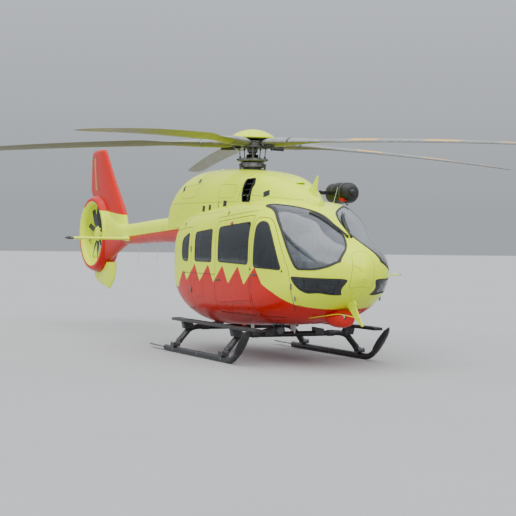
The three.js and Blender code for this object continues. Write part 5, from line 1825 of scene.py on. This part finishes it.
class HELI_OT_equipment(bpy.types.Operator):
    """Lights, antennas, wipers, wire cutters and belly equipment"""

    bl_idname = "heli.equipment"
    bl_label = "Equipment"

    def execute(self, context):
        self.belly()
        self.cutters_and_antennas()
        self.lights()
        self.wipers()
        self.trims()
        return {"FINISHED"}

    def belly(self):
        x, z = -390, 478  # the searchlight's middle
        lamp = Shape().pipe([(x, -1730, 560), (x, -1730, 500)], 5, 10, 16, 16, 1)
        housing = [(0, 0), (40, 4), (58, 22), (64, 60), (64, 130), (68, 134), (68, 146), (60, 148), (58, 138),
            (0, 136)]
        lens = [(0, 139), (30, 142), (57, 139), (57, 136), (0, 136)]
        for profile, sides, paint in ((housing, 40, 0), (lens, 32, 2)):
            lamp.turned(profile, (x, -1674, z), (0, -1, 0), sides, paint)
        for sign in (-1, 1):
            lamp.rod((x + sign * 62, -1750, z), (x + sign * 76, -1750, z), 14, 16, 1)
            strut = [(x + sign * 72, -1750, z), (x + sign * 72, -1742, 552), (x, -1735, 556)]
            lamp.pipe(strut, 18, 8, 7, 10, 1)
        for a in range(30, 108, 13):  # cooling fins
            lamp.turned([(60, a), (67, a + 2), (67, a + 6), (60, a + 8)], (x, -1674, z), (0, -1, 0), 36)
        lamp.turned([(0, 548), (60, 548), (95, 560), (95, 700), (0, 700)], (x, -1730, 0), sides=32, paint=1)
        piece("searchlight_parts", lamp, "black_paint dark_metal screen", "searchlight")

        rows = [(-3100, 40), (-3070, 108), (-2960, 150), (-2760, 150), (-2660, 112), (-2620, 46)]
        rows = [(y, r * 1.1, r * 0.9) for y, r in smooth_rows(rows, 6)]
        pod = Shape().ovals((0, 0, 720), (0, 1, 0), (1, 0, 0), (0, 0, 1), rows, 44)
        for profile, sides, paint in (
            ([(0, 0), (46, 0), (52, 6), (52, 26), (44, 32), (0, 30)], 32, 1),
            ([(0, 30), (24, 34), (43, 30), (43, 26), (0, 26)], 28, 2),
        ):
            pod.turned(profile, (-70, -3052, 745), (-0.7, -1, 0.1), sides, paint)
        pod.block(-60, 60, -2960, -2760, 800, 860, 1)
        # The lens takes the glowing clear glass though the pod holds no lamp: a painted glint
        piece("camera_pod_parts", pod, "red_paint black_paint clear_lamp", "camera_pod")

    def cutters_and_antennas(self):
        lower = [(-2950, 980), (-3190, 1020), (-3498, 642), (-3472, 632), (-3330, 700)]
        lower = Shape().prism(rounded(lower, 26), 0, -9, 9)
        lower.prism(rounded([(-3060, 930), (-3240, 1000), (-3300, 930), (-3150, 850)], 20), 0, -15, 15)
        lower.pipe([(-10, -3420, 745), (-140, -3060, 790), (-330, -2560, 700)], 80, 40, 5, 8)
        upper = [(-1852, 2540), (-1900, 2470), (-2105, 2400), (-2163, 2738), (-2146, 2749), (-1985, 2600)]
        upper = Shape().prism(rounded(upper, 22), 0, -9, 9)
        foot = [(-1880, 2520), (-1930, 2440), (-2080, 2400), (-2110, 2470), (-1990, 2560)]
        upper.prism(rounded(foot, 20), 0, -15, 15)
        for name, cutter in (("lower", lower), ("upper", upper)):
            node = name + "_wire_cutter"
            piece(name + "_cutter_blade", cutter, "yellow_paint", node, slot="yellow_metal", bevel=0.002)

        masts = Shape()
        whip = [(0, 0), (20, 0), (17, 16), (5, 30), (3.4, 60), (2.4, 300), (0, 302)]
        masts.turned(whip, (300, -2080, 2318), (0.02, -0.42, 0.9), 14)
        masts.mast(0, 10, 8, ((-1560, -1380, 548), (-1545, -1400, 480), (-1500, -1415, 350)))
        masts.mast(-420, 8, 6, ((-1010, -900, 530), (-1000, -905, 440)))
        puck = [(0, 0), (70, 0), (74, 8), (60, 22), (20, 32), (0, 34)]
        masts.turned(puck, (0, -1620, 2648), (0, 0.15, 1), 36, 1)
        piece("antennas", masts, "white_paint yellow_paint", bevel=0.0008)
        pitot = [(430, -3280, 1300), (520, -3330, 1345), (525, -3450, 1352), (525, -3570, 1352)]
        pitot = Shape().pipe(pitot, 40, 10, 9, 14)
        pitot.rod((525, -3570, 1352), (525, -3600, 1352), 6, 12, 1)
        piece("pitot_tubes", pitot, "yellow_paint steel", slot="yellow_metal")

    def lights(self):
        lights = Shape()
        for sign, paint in ((-1, 3), (1, 2)):
            spot = on_skin(BODY, sign, -1170, 2035)
            lights.turned([(0, -4), (26, -4), (26, 6), (20, 22), (0, 28)], *spot, 24, paint)
            lights.turned([(26, -3), (34, -3), (33, 6), (27, 9)], *spot, 24, 4)
        crown = (0, 1080, ROOF.top(0, 1080))
        lights.turned([(0, -4), (48, -4), (50, 10), (44, 44), (30, 58), (0, 62)], crown, sides=32)
        lights.turned([(48, -4), (62, -4), (60, 10), (50, 14)], crown, sides=32, paint=4)
        lights.turned([(0, -4), (40, -4), (40, 14), (30, 40), (0, 48)], (0, 200, 452), (0, 0, -1), 28, 2)
        piece("position_lights", lights, "clear_lamp clear_lamp red_lamp red_lamp black_paint")

    def wipers(self):
        """Wipers parked along the inner edge of each windscreen."""
        wipers = Shape()
        for sign in (-1, 1):
            edge = ((30, -3080), (60, -2900), (105, -2740), (175, -2570), (255, -2440))
            plan = [(sign * x, y) for x, y in edge]

            def lay(lift, shift):
                points = [(x + sign * shift, y) for x, y in spaced(plan, 24, False)]
                return np.array([(x, y, BODY.top(x, y) + lift) for x, y in points])

            arm, base = lay(26, 0), lay(0, 0)[0]
            wipers.tube(arm, np.linspace(14, 8, len(arm)), 10)
            wipers.tube(lay(24, 16)[: int(len(arm) * 0.9)], 5, 8)
            wipers.rod(base - (0, 0, 10), base + (0, 0, 36), 19, 20)
            wipers.tube(lay(9, 34)[6:], 9, 6, flat=1.8)
            wipers.rod(lay(14, 20)[-4], arm[-3], 6, 8)
        piece("windscreen_wipers", wipers, "black_paint")

    def trims(self):
        """Door rails, latches, the sliding door's handle and the grab strip under it."""
        trims = Shape()
        for sign in (-1, 1):
            for line, width, low, high, paint in (
                ([(256, 1262), (-652, 1262)], 13, -6, 1.2, 1),
                ([(-640, 2128), (-1800, 2228)], 12, -6, 1.2, 1),
                ([(-756, 858), (-1300, 900), (-1856, 944)], 20, -2, 12, 0),
                ([(-1848, 938), (-1848, 1012)], 12, -2, 5, 0),
            ):
                trims.ribbon(BODY, line, sign, width, low, high, paint)
            for y, z in ((-1826, 1375), (-2618, 1367)):
                trims.turned([(0, -4), (17, -4), (17, 3), (12, 6), (0, 6)], *on_skin(BODY, sign, y, z), 20, 2)
            trims.ribbon(BODY, [(-840, 1180), (-700, 1184)], sign, 26, -3, 8, 2)
            trims.turned([(0, -4), (13, -4), (13, 10), (0, 14)], *on_skin(BODY, sign, 705, 2033), 16, 1)
        trims.turned(rect(20, 28, -2, 6), *on_skin(BODY, -1, -924, 2200), 28, 1)
        piece("door_trims", trims, "red_paint black_paint dark_metal", slot="black_alloy")


def nose_line(shape, line, bend, closed=True):
    """A seam on the nose through x and z points; each y is found by halving."""
    x, z = spaced(rounded(line, bend, closed=closed), 12, closed).T
    front, back = np.full(len(x), -3519.0), np.full(len(x), -2000.0)
    for _ in range(30):
        y = (front + back) / 2
        wide = BODY.half_width(y, z) > np.abs(x)
        back, front = np.where(wide, y, back), np.where(wide, front, y)
    points = np.stack([x, back, z], 1)
    return shape.strip(points, BODY.normal(points), *SEAM_STRIP, closed=closed)


class HELI_OT_details(bpy.types.Operator):
    """Panel seams, fasteners, hinges and drain slots on the skin"""

    bl_idname = "heli.details"
    bl_label = "Skin details"

    # Rows of fasteners: the skin, a line, its bend and the pitch
    rows = (
        (BODY, grown(SLIDING_DOOR, -26), 50, 90),
        (BODY, grown(FRONT_DOOR, 34), 80, 90),
        (BODY, grown(SIDE_WINDOW, 40), 90, 80),
        (BODY, [(-225, 875), (-225, 1185), (145, 1185), (145, 875)], 40, 60),
        (ROOF, [(615, 2445), (615, 2712), (1275, 2662), (1275, 2425)], 60, 80),
        (ROOF, [(-665, 2415), (-665, 2662), (-125, 2685), (-125, 2415)], 50, 80),
        (ROOF, [(-2010, 2370), (-1500, 2420), (-790, 2478)], 0, 90),
    )
    # Hinges: half width at most, y, heights and knuckle radius
    hinges = {"front": (790, -2797, (1000, 1160), 13), "rear": (940, 262, (1000, 1640), 12)}

    def execute(self, context):
        self.seams()
        spots = [spot for sign in (-1, 1) for skin, *row in self.rows for spot in rivets_on(skin, sign, *row)]
        scattered("skin_fasteners", spots, fastener(looks().rivet_size), "livery_paint", slot="yellow_metal")
        for side, sign in SIDES:
            for name, sizes in self.hinges.items():
                self.hinge(f"{name}_door_{side}_hinges", sign, *sizes)
        self.slots()
        return {"FINISHED"}

    def seams(self):
        seams = Shape()
        nose = [(152, 1640), (170, 1480), (185, 1320), (178, 1150)]
        nose_line(seams, [(-x, z) for x, z in nose] + [(0, 1186)] + nose[::-1] + [(0, 1672)], 60)
        nose_line(seams, [(-168, 1481), (-90, 1440), (-15, 1380)], 20, closed=False)
        for y in (-1815, 190):
            seam_round(seams, BODY, y, -158, -22)
        for sign in (-1, 1):
            seams.seam(BODY, sign, [(-1700, 690), (-700, 655), (1020, 690)])
            seams.seam(BODY, sign, [(-1560, 780), (-1560, 860), (-1180, 850), (-1180, 770)], 24)
            seams.seam(BODY, sign, [(-640, 2226), (300, 2170), (1300, 2160)])
            seams.seam(BODY, sign, [(-200, 900), (-200, 1160), (120, 1160), (120, 900)], 30)
        piece("skin_seams", seams, "seam_line")

    def hinge(self, name, sign, most, y, centres, radius):
        """Pins at each height, each with three knuckles."""
        hinge, pin = Shape(), radius * 0.8
        knuckle = [(pin, -2), (radius, 0), (radius, 24), (pin, 26)]
        for z in centres:
            x = sign * min(most, BODY.side(y, z) + 6)
            hinge.rod((x, y, z - 45), (x, y, z + 45), pin, 18)
            for low in (z - 42, z - 12, z + 18):
                hinge.turned(knuckle, (x, y, low), sides=18, paint=1)
        piece(name, hinge, "steel", slot="bright_alloy")

    def slots(self):
        slots = Shape()
        drain = rounded([(1395, 2190), (1345, 2080), (1337, 1995)], 20, closed=False)
        vent = rounded([(-2790, 850), (-2790, 900), (-2710, 890), (-2710, 850)], 10)
        for sign in (-1, 1):
            slots.ribbon(BODY, [(700, 1992), (700, 2056)], sign, 30, -4, 1.4)
            slots.ribbon(BODY, drain, sign, 6, -3, 1)
            slots.rim(BODY, vent, sign, 10, -4, 1)
        piece("drain_slots", slots, "black_paint")


def pad_mesh(name, width, depth, thick, channels=(), voxel=0.008):
    """A cushion about its own middle, blown up as cloth.

    Channels are sewn lines across it, as shares of its depth.
    """
    outline = rounded(rect(-width / 2, width / 2, -depth / 2, depth / 2), 60, 8)
    rows = [(0.80, 0.0), (0.93, 0.06), (0.985, 0.22), (1.0, 0.5), (0.985, 0.78), (0.93, 0.94), (0.80, 1.0)]
    shape = Shape().loft([[(x * s, y * s, (h - 0.5) * thick * 0.8) for x, y in outline] for s, h in rows])
    pad = placed(name, template_mesh(shape, name))
    remesh = pad.modifiers.new("remesh", "REMESH")
    remesh.mode, remesh.voxel_size, remesh.use_smooth_shade = "VOXEL", voxel, True
    mesh = rest = plain_mesh(pad, name + "_rest")
    start = raw_points(rest)
    blown = placed(name + "_blown", rest.copy())
    cloth_settings = blown.modifiers.new("cloth", "CLOTH").settings
    cloth_settings.use_pressure = True
    cloth_settings.uniform_pressure_force = looks().pad_pressure
    cloth_settings.effector_weights.gravity = 0
    cloth_settings.tension_stiffness = cloth_settings.compression_stiffness = 12
    for moment in range(1, 21):
        bpy.context.scene.frame_set(moment)
    mesh = plain_mesh(blown, name)
    moved = raw_points(mesh) - start
    reach = np.linalg.norm(moved, axis=1)[:, None]
    points = start + moved * np.minimum(1, PAD_CAP / np.maximum(reach, 1e-9))
    mesh.vertices.foreach_set("co", points.ravel())
    bpy.context.scene.frame_set(1)
    points = raw_points(mesh)
    top = np.clip(points[:, 2] / (thick / 2000), 0, 1)
    for share in channels:
        gap = np.abs(points[:, 1] - (share - 0.5) * depth / 1000)
        points[:, 2] -= 0.011 * np.exp(-((gap / 0.009) ** 2)) * top
    mesh.vertices.foreach_set("co", points.ravel())
    mesh.update()
    return mesh


def padded_piece(name, pad, place, turn, finish="seat_cloth"):
    """A copy of a cushion, set by its middle in millimetres and its lean from level in degrees."""
    mesh = pad.copy()
    middle = Vector(np.array(place) / 1000 + MAST_AXIS)
    mesh.transform(Matrix.Translation(middle) @ Matrix.Rotation(math.radians(turn), 4, "X"))
    made = piece(name, mesh, finish, slot="seat_cloth", angle=180)
    subdivision = made.modifiers.new("smooth", "SUBSURF")
    subdivision.levels = subdivision.render_levels = 1


class HELI_OT_seats(bpy.types.Operator):
    """Pilot seats, cabin seats and stretcher, with cushions, piping and harnesses"""

    bl_idname = "heli.seats"
    bl_label = "Seats and stretcher"

    def execute(self, context):
        pads = (
            pad_mesh("pan_pad", 430, 440, 84, (0.3, 0.55)),
            pad_mesh("back_pad", 420, 560, 74, (0.25, 0.5, 0.75)),
            pad_mesh("head_pad", 270, 150, 70),
        )
        mattress = pad_mesh("mattress_pad", 500, 1270, 66, (0.34, 0.62), voxel=0.011)
        for name, x in (("pilot_seat_right", -380), ("pilot_seat_left", 380)):
            frame, place = Shape(), (x, -2060, 1000)
            self.bucket(frame, place, 1820, 762)
            frame.block(x - 120, x + 120, -2480, -2080, 690, 908, 1)
            frame.kept_inside(BODY)
            piece(name + "_frame", frame, "dark_trim dark_metal webbing", name, bevel=0.002)
            self.cushions(name, pads, place, 1820)
        cabin = Shape()
        for number, x in enumerate((-560, 0, 560), 1):
            place = (x, 230, 1010)
            self.bucket(cabin, place, 1720, 902)
            self.cushions(f"cabin_seat_{number}", pads, place, 1720)
        for x in (-700, 700):
            cabin.rod((x, 100, 918), (x, 100, 643), 20, 14, 1)
        cabin.block(-760, 760, 60, 200, 900, 940, 1)
        piece("cabin_seat_frames", cabin, "dark_trim dark_metal webbing", "cabin_seats", bevel=0.002)
        self.stretcher(mattress)
        return {"FINISHED"}

    def rise(self, place, top, height):
        """Where the front of a seat's leaning bucket is at a height."""
        return place[1] + (height - place[2] + 120) * self.lean(place, top)

    def lean(self, place, top):
        return 110 / (top - place[2] + 120)

    def bucket(self, frame, place, top, foot):
        """Adds a seat's bucket, pan, side tubes, legs and straps to the frame."""
        x, y, z = place
        rings = []
        lower = [(z - 60, 216), (z + 60, 232), (z + 300, 236), (z + 520, 222), (z + 640, 160)]
        for h, wing in lower + [(top - 20, 142), (top - 4, 120)]:
            back = wing - 46
            plan = [(-wing, -8), (wing, -8), (wing, 44), (back, 62), (-back, 62), (-wing, 44)]
            rings.append([(x + a, self.rise(place, top, h) + b, h) for a, b in rounded(plan, 12, 3)])
        frame.loft(rings)
        frame.prism(rounded(rect(x - 236, x + 236, y - 470, y + 6), 50), 2, z - 92, z - 44)
        for side in (-1, 1):

            def at(out, along, up):
                return x + side * out, along, up

            arm = [at(236, y - 452, z - 60), at(238, y - 10, z - 40)]
            frame.pipe(arm + [at(238, self.rise(place, top, z + 260), z + 260)], 60, 30, 12, 10, 1)
            for leg in (y - 300, y - 60):
                frame.rod(at(150, leg, foot), at(190, leg, z - 90), 16, 12, 1)
            frame.block(x + side * 150 - 20, x + side * 150 + 20, y - 340, y - 10, foot - 3, foot + 16, 1)
            chest = ((560, 90), (430, 84), (260, 70))
            shoulder = [at(out, self.rise(place, top, z + up) - 100, z + up) for up, out in chest]
            lap = [at(225, y - 20, z + 10), at(170, y - 120, z + 70), at(26, y - 170, z + 116)]
            for route in (shoulder + [at(24, y - 160, z + 130)], lap):
                frame.tube(arc_path(route, 30, 16), 3, 6, 2, flat=7)
        buckle = [(0, -8), (26, -8), (30, 0), (26, 12), (0, 14)]
        frame.turned(buckle, (x, y - 172, z + 122), (0, -0.7, 0.7), 20, 1)

    def cushions(self, name, pads, place, top):
        x, y, z = place
        upright = 90 - math.degrees(math.atan(self.lean(place, top)))
        padded_piece(name + "_cushion", pads[0], (x, y - 240, z - 6), 3)
        for pad, part, height, ahead in (
            (pads[1], "_backrest", z + 320, 42), (pads[2], "_headrest", top - 110, 38),
        ):
            padded_piece(name + part, pad, (x, self.rise(place, top, height) - ahead, height), upright)

    def stretcher(self, mattress):
        bed = Shape()
        for x in (90, 590):
            bed.pipe([(x, -1690, 985), (x, -360, 985)], 10, 60, 17, 12)
            for y in (-1600, -900, -450):
                bed.rod((x, y, 643), (x, y, 985), 13, 10)
            bed.pipe([(x, -1300, 1000), (x, -1290, 1120), (x, -760, 1120), (x, -750, 1000)], 40, 20, 9, 8, 1)
        for y in (-1690, -1200, -800, -360):
            bed.rod((90, y, 985), (590, y, 985), 14, 10)
        for y in (-1350, -700):
            strap = ((78, 1000), (120, 1082), (340, 1100), (560, 1082), (602, 1000))
            bed.pipe([(x, y, z) for x, z in strap], 40, 20, 3, 6, 2, flat=8)
        piece("stretcher_frame", bed, "alloy dark_metal webbing", "stretcher")
        padded_piece("stretcher_mattress", mattress, (340, -1025, 1040), 0, "pad_orange")


class HELI_OT_cockpit(bpy.types.Operator):
    """Instrument panel, console, controls and cabin fittings"""

    bl_idname = "heli.cockpit"
    bl_label = "Cockpit"

    def execute(self, context):
        self.console()
        self.controls()
        fittings = Shape()
        for sign in (-1, 1):
            for y in (-1700, -540, 150):
                x = BODY.side(y, 1900.0) - 60
                fittings.rod((sign * x, y, 1300), (sign * (x - 30), y, 1980), 11, 10)
            grip = ((860, -2300, 1240), (850, -2220, 1300), (850, -2000, 1300), (860, -1930, 1240))
            fittings.pipe([(sign * x, y, z) for x, y, z in grip], 40, 20, 12, 10, 1)
        for y in (-1500, -1000, -500):
            fittings.rod((-520, y, 2320), (520, y, 2320), 12, 10)
        fittings.block(-300, 300, -2120, -1880, 2190, 2260, 1)
        for x in range(-260, 268, 66):
            fittings.block(x, x + 46, -2110, -1900, 2180, 2192)
        self.lockers(fittings)
        self.bottle(fittings)
        piece("cabin_fittings", fittings, "alloy dark_trim cabin_trim", bevel=0.003)
        return {"FINISHED"}

    def console(self):
        panel = Shape()
        side = [(-2240, 642), (-2560, 660), (-2800, 830), (-2990, 980), (-3040, 1170), (-2870, 1190),
            (-2770, 905), (-2240, 880)]
        panel.prism(rounded(side, 30), 0, -108, 108)
        hood = [(-2800, 1400), (-2840, 1452), (-3010, 1440), (-3030, 1190), (-2930, 1180), (-2880, 1400)]
        ends = ((-430, -60), (-400, -16), (-300, 0), (300, 0), (400, -16), (430, -60))
        panel.loft([[(x, y, z + lift) for y, z in rounded(hood, 20)] for x, lift in ends])
        for x in (-290, -98, 98, 290):  # screens with their keys
            panel.block(x - 88, x + 88, -2884, -2872, 1216, 1372, 1)
            panel.block(x - 74, x + 74, -2872, -2869, 1230, 1358, 2)
            for key in range(-60, 61, 30):
                panel.rod((x + key, -2873, 1222), (x + key, -2866, 1222), 5, 8, 1)
        for row in range(5):
            y, z = -2740 + 95 * row, 906 - 4.68 * row
            for x in (-54, 54):
                panel.block(x - 46, x + 46, y - 38, y + 38, z - 10, z + 4, 1)
                panel.block(x - 30, x + 30, y - 22, y + 6, z + 4, z + 6, 2)
                for knob in (-30, 0, 30):
                    panel.rod((x + knob, y + 24, z), (x + knob, y + 24, z + 16), 7, 10, 1)
        panel.kept_inside(BODY)
        piece("instrument_console", panel, "dark_trim dark_metal screen", "instrument_panel", bevel=0.002)

    def controls(self):
        """A cyclic stick, a collective lever and two pedals for each seat."""
        sticks = Shape()
        for x, out in ((-380, -1), (380, 1)):
            stick = [(x, -2560, 644), (x, -2580, 800), (x, -2640, 980), (x - 10, -2620, 1130)]
            sticks.pipe(stick, 70, 24, 12, 12)
            sticks.pipe([(x - 10, -2620, 1125), (x - 6, -2634, 1160), (x, -2640, 1215)], 10, 12, 22, 16, 1)
            lever = x - out * 205
            arm = [(x - out * 150, -2120, 760), (lever, -2330, 880), (lever, -2440, 940)]
            sticks.pipe(arm, 60, 24, 13, 12)
            sticks.pipe([(lever, -2380, 906), (lever, -2470, 956)], 10, 12, 23, 16, 1)
            for pedal in (x - 54, x + 54):
                sticks.pipe([(pedal, -2620, 780), (pedal, -2700, 860), (pedal, -2760, 890)], 30, 20, 11, 10)
                sticks.block(pedal - 36, pedal + 36, -2776, -2764, 860, 950, 1)
        sticks.kept_inside(BODY)
        piece("flight_controls", sticks, "dark_metal dark_trim", slot="trim_plastic", bevel=0.001)

    def lockers(self, fittings):
        """Two lockers with drawers, latches and pulls on both faces."""
        for x0, x1, top, drawers in ((-640, -220, 1500, 5), (240, 640, 1380, 4)):
            for grow, low, high in ((0, 660, top - 12), (8, top - 12, top + 6), (6, 655, 684)):
                plan = rect(x0 - grow, x1 + grow, 320 - grow, 620 + grow)
                fittings.prism(rounded(plan, 22, 4), 2, low, high, 1)
            pitch = (top - 712) / drawers
            for z in (694 + pitch * k for k in range(drawers)):
                for y, out in ((320, -1), (620, 1)):
                    front, middle = y + 10 * out, z + pitch * 0.6
                    fittings.block(x0 + 20, x1 - 20, min(y, front), max(y, front), z, z + pitch - 14, 2)
                    latch = [(0, 0), (15, 0), (15, 10), (9, 14), (0, 14)]
                    fittings.turned(latch, (x1 - 52, front, middle), (0, out, 0), 18)
                    pull = ((70, 8), (74, 30), (176, 30), (180, 8))
                    fittings.pipe([(x0 + a, y + b * out, middle) for a, b in pull], 10, 12, 6, 8)

    def bottle(self, fittings):
        """A gas bottle with its valve, clamped between the lockers."""
        cylinder = [(0, 0), (60, 0), (70, 14), (70, 760), (58, 820), (28, 860)]
        valve = [(20, 868), (20, 905), (36, 912), (36, 930), (0, 932)]
        fittings.turned(cylinder + valve, (120, 470, 656), sides=32)
        for z in (860, 1260):
            fittings.turned(rect(70, 76, -20, 20), (120, 470, z), sides=32, paint=1)
            fittings.block(188, 246, 458, 482, z - 14, z + 14, 1)


PIECE_STEPS = (
    HELI_OT_camera,
    HELI_OT_finishes,
    HELI_OT_stage,
    HELI_OT_shell,
    HELI_OT_doors,
    HELI_OT_windows,
    HELI_OT_roof,
    HELI_OT_rotor,
    HELI_OT_tail,
    HELI_OT_tail_fan,
    HELI_OT_skids,
    HELI_OT_hoist,
    HELI_OT_equipment,
    HELI_OT_details,
    HELI_OT_cockpit,
    HELI_OT_seats,
)


class HELI_PT_looks(bpy.types.Panel):
    """Lists the pieces in the sidebar"""

    bl_label = "Helicopter Looks"
    bl_idname = "HELI_PT_looks"
    bl_space_type = "VIEW_3D"
    bl_region_type = "UI"
    bl_category = "Helicopter"

    def draw(self, context):
        settings = context.scene.helicopter_looks
        for name in settings.__annotations__:
            self.layout.prop(settings, name)
        for step in PIECE_STEPS:
            self.layout.operator(step.bl_idname)


CLASSES = (HELI_PG_looks, *PIECE_STEPS, HELI_PT_looks)


def register():
    for made in CLASSES:
        bpy.utils.register_class(made)
    bpy.types.Scene.helicopter_looks = bpy.props.PointerProperty(type=HELI_PG_looks)


def unregister():
    del bpy.types.Scene.helicopter_looks
    for made in reversed(CLASSES):
        bpy.utils.unregister_class(made)


def main():
    register()
    for step in PIECE_STEPS:
        family, name = step.bl_idname.split(".")
        getattr(getattr(bpy.ops, family), name)()


if __name__ == "__main__":
    main()
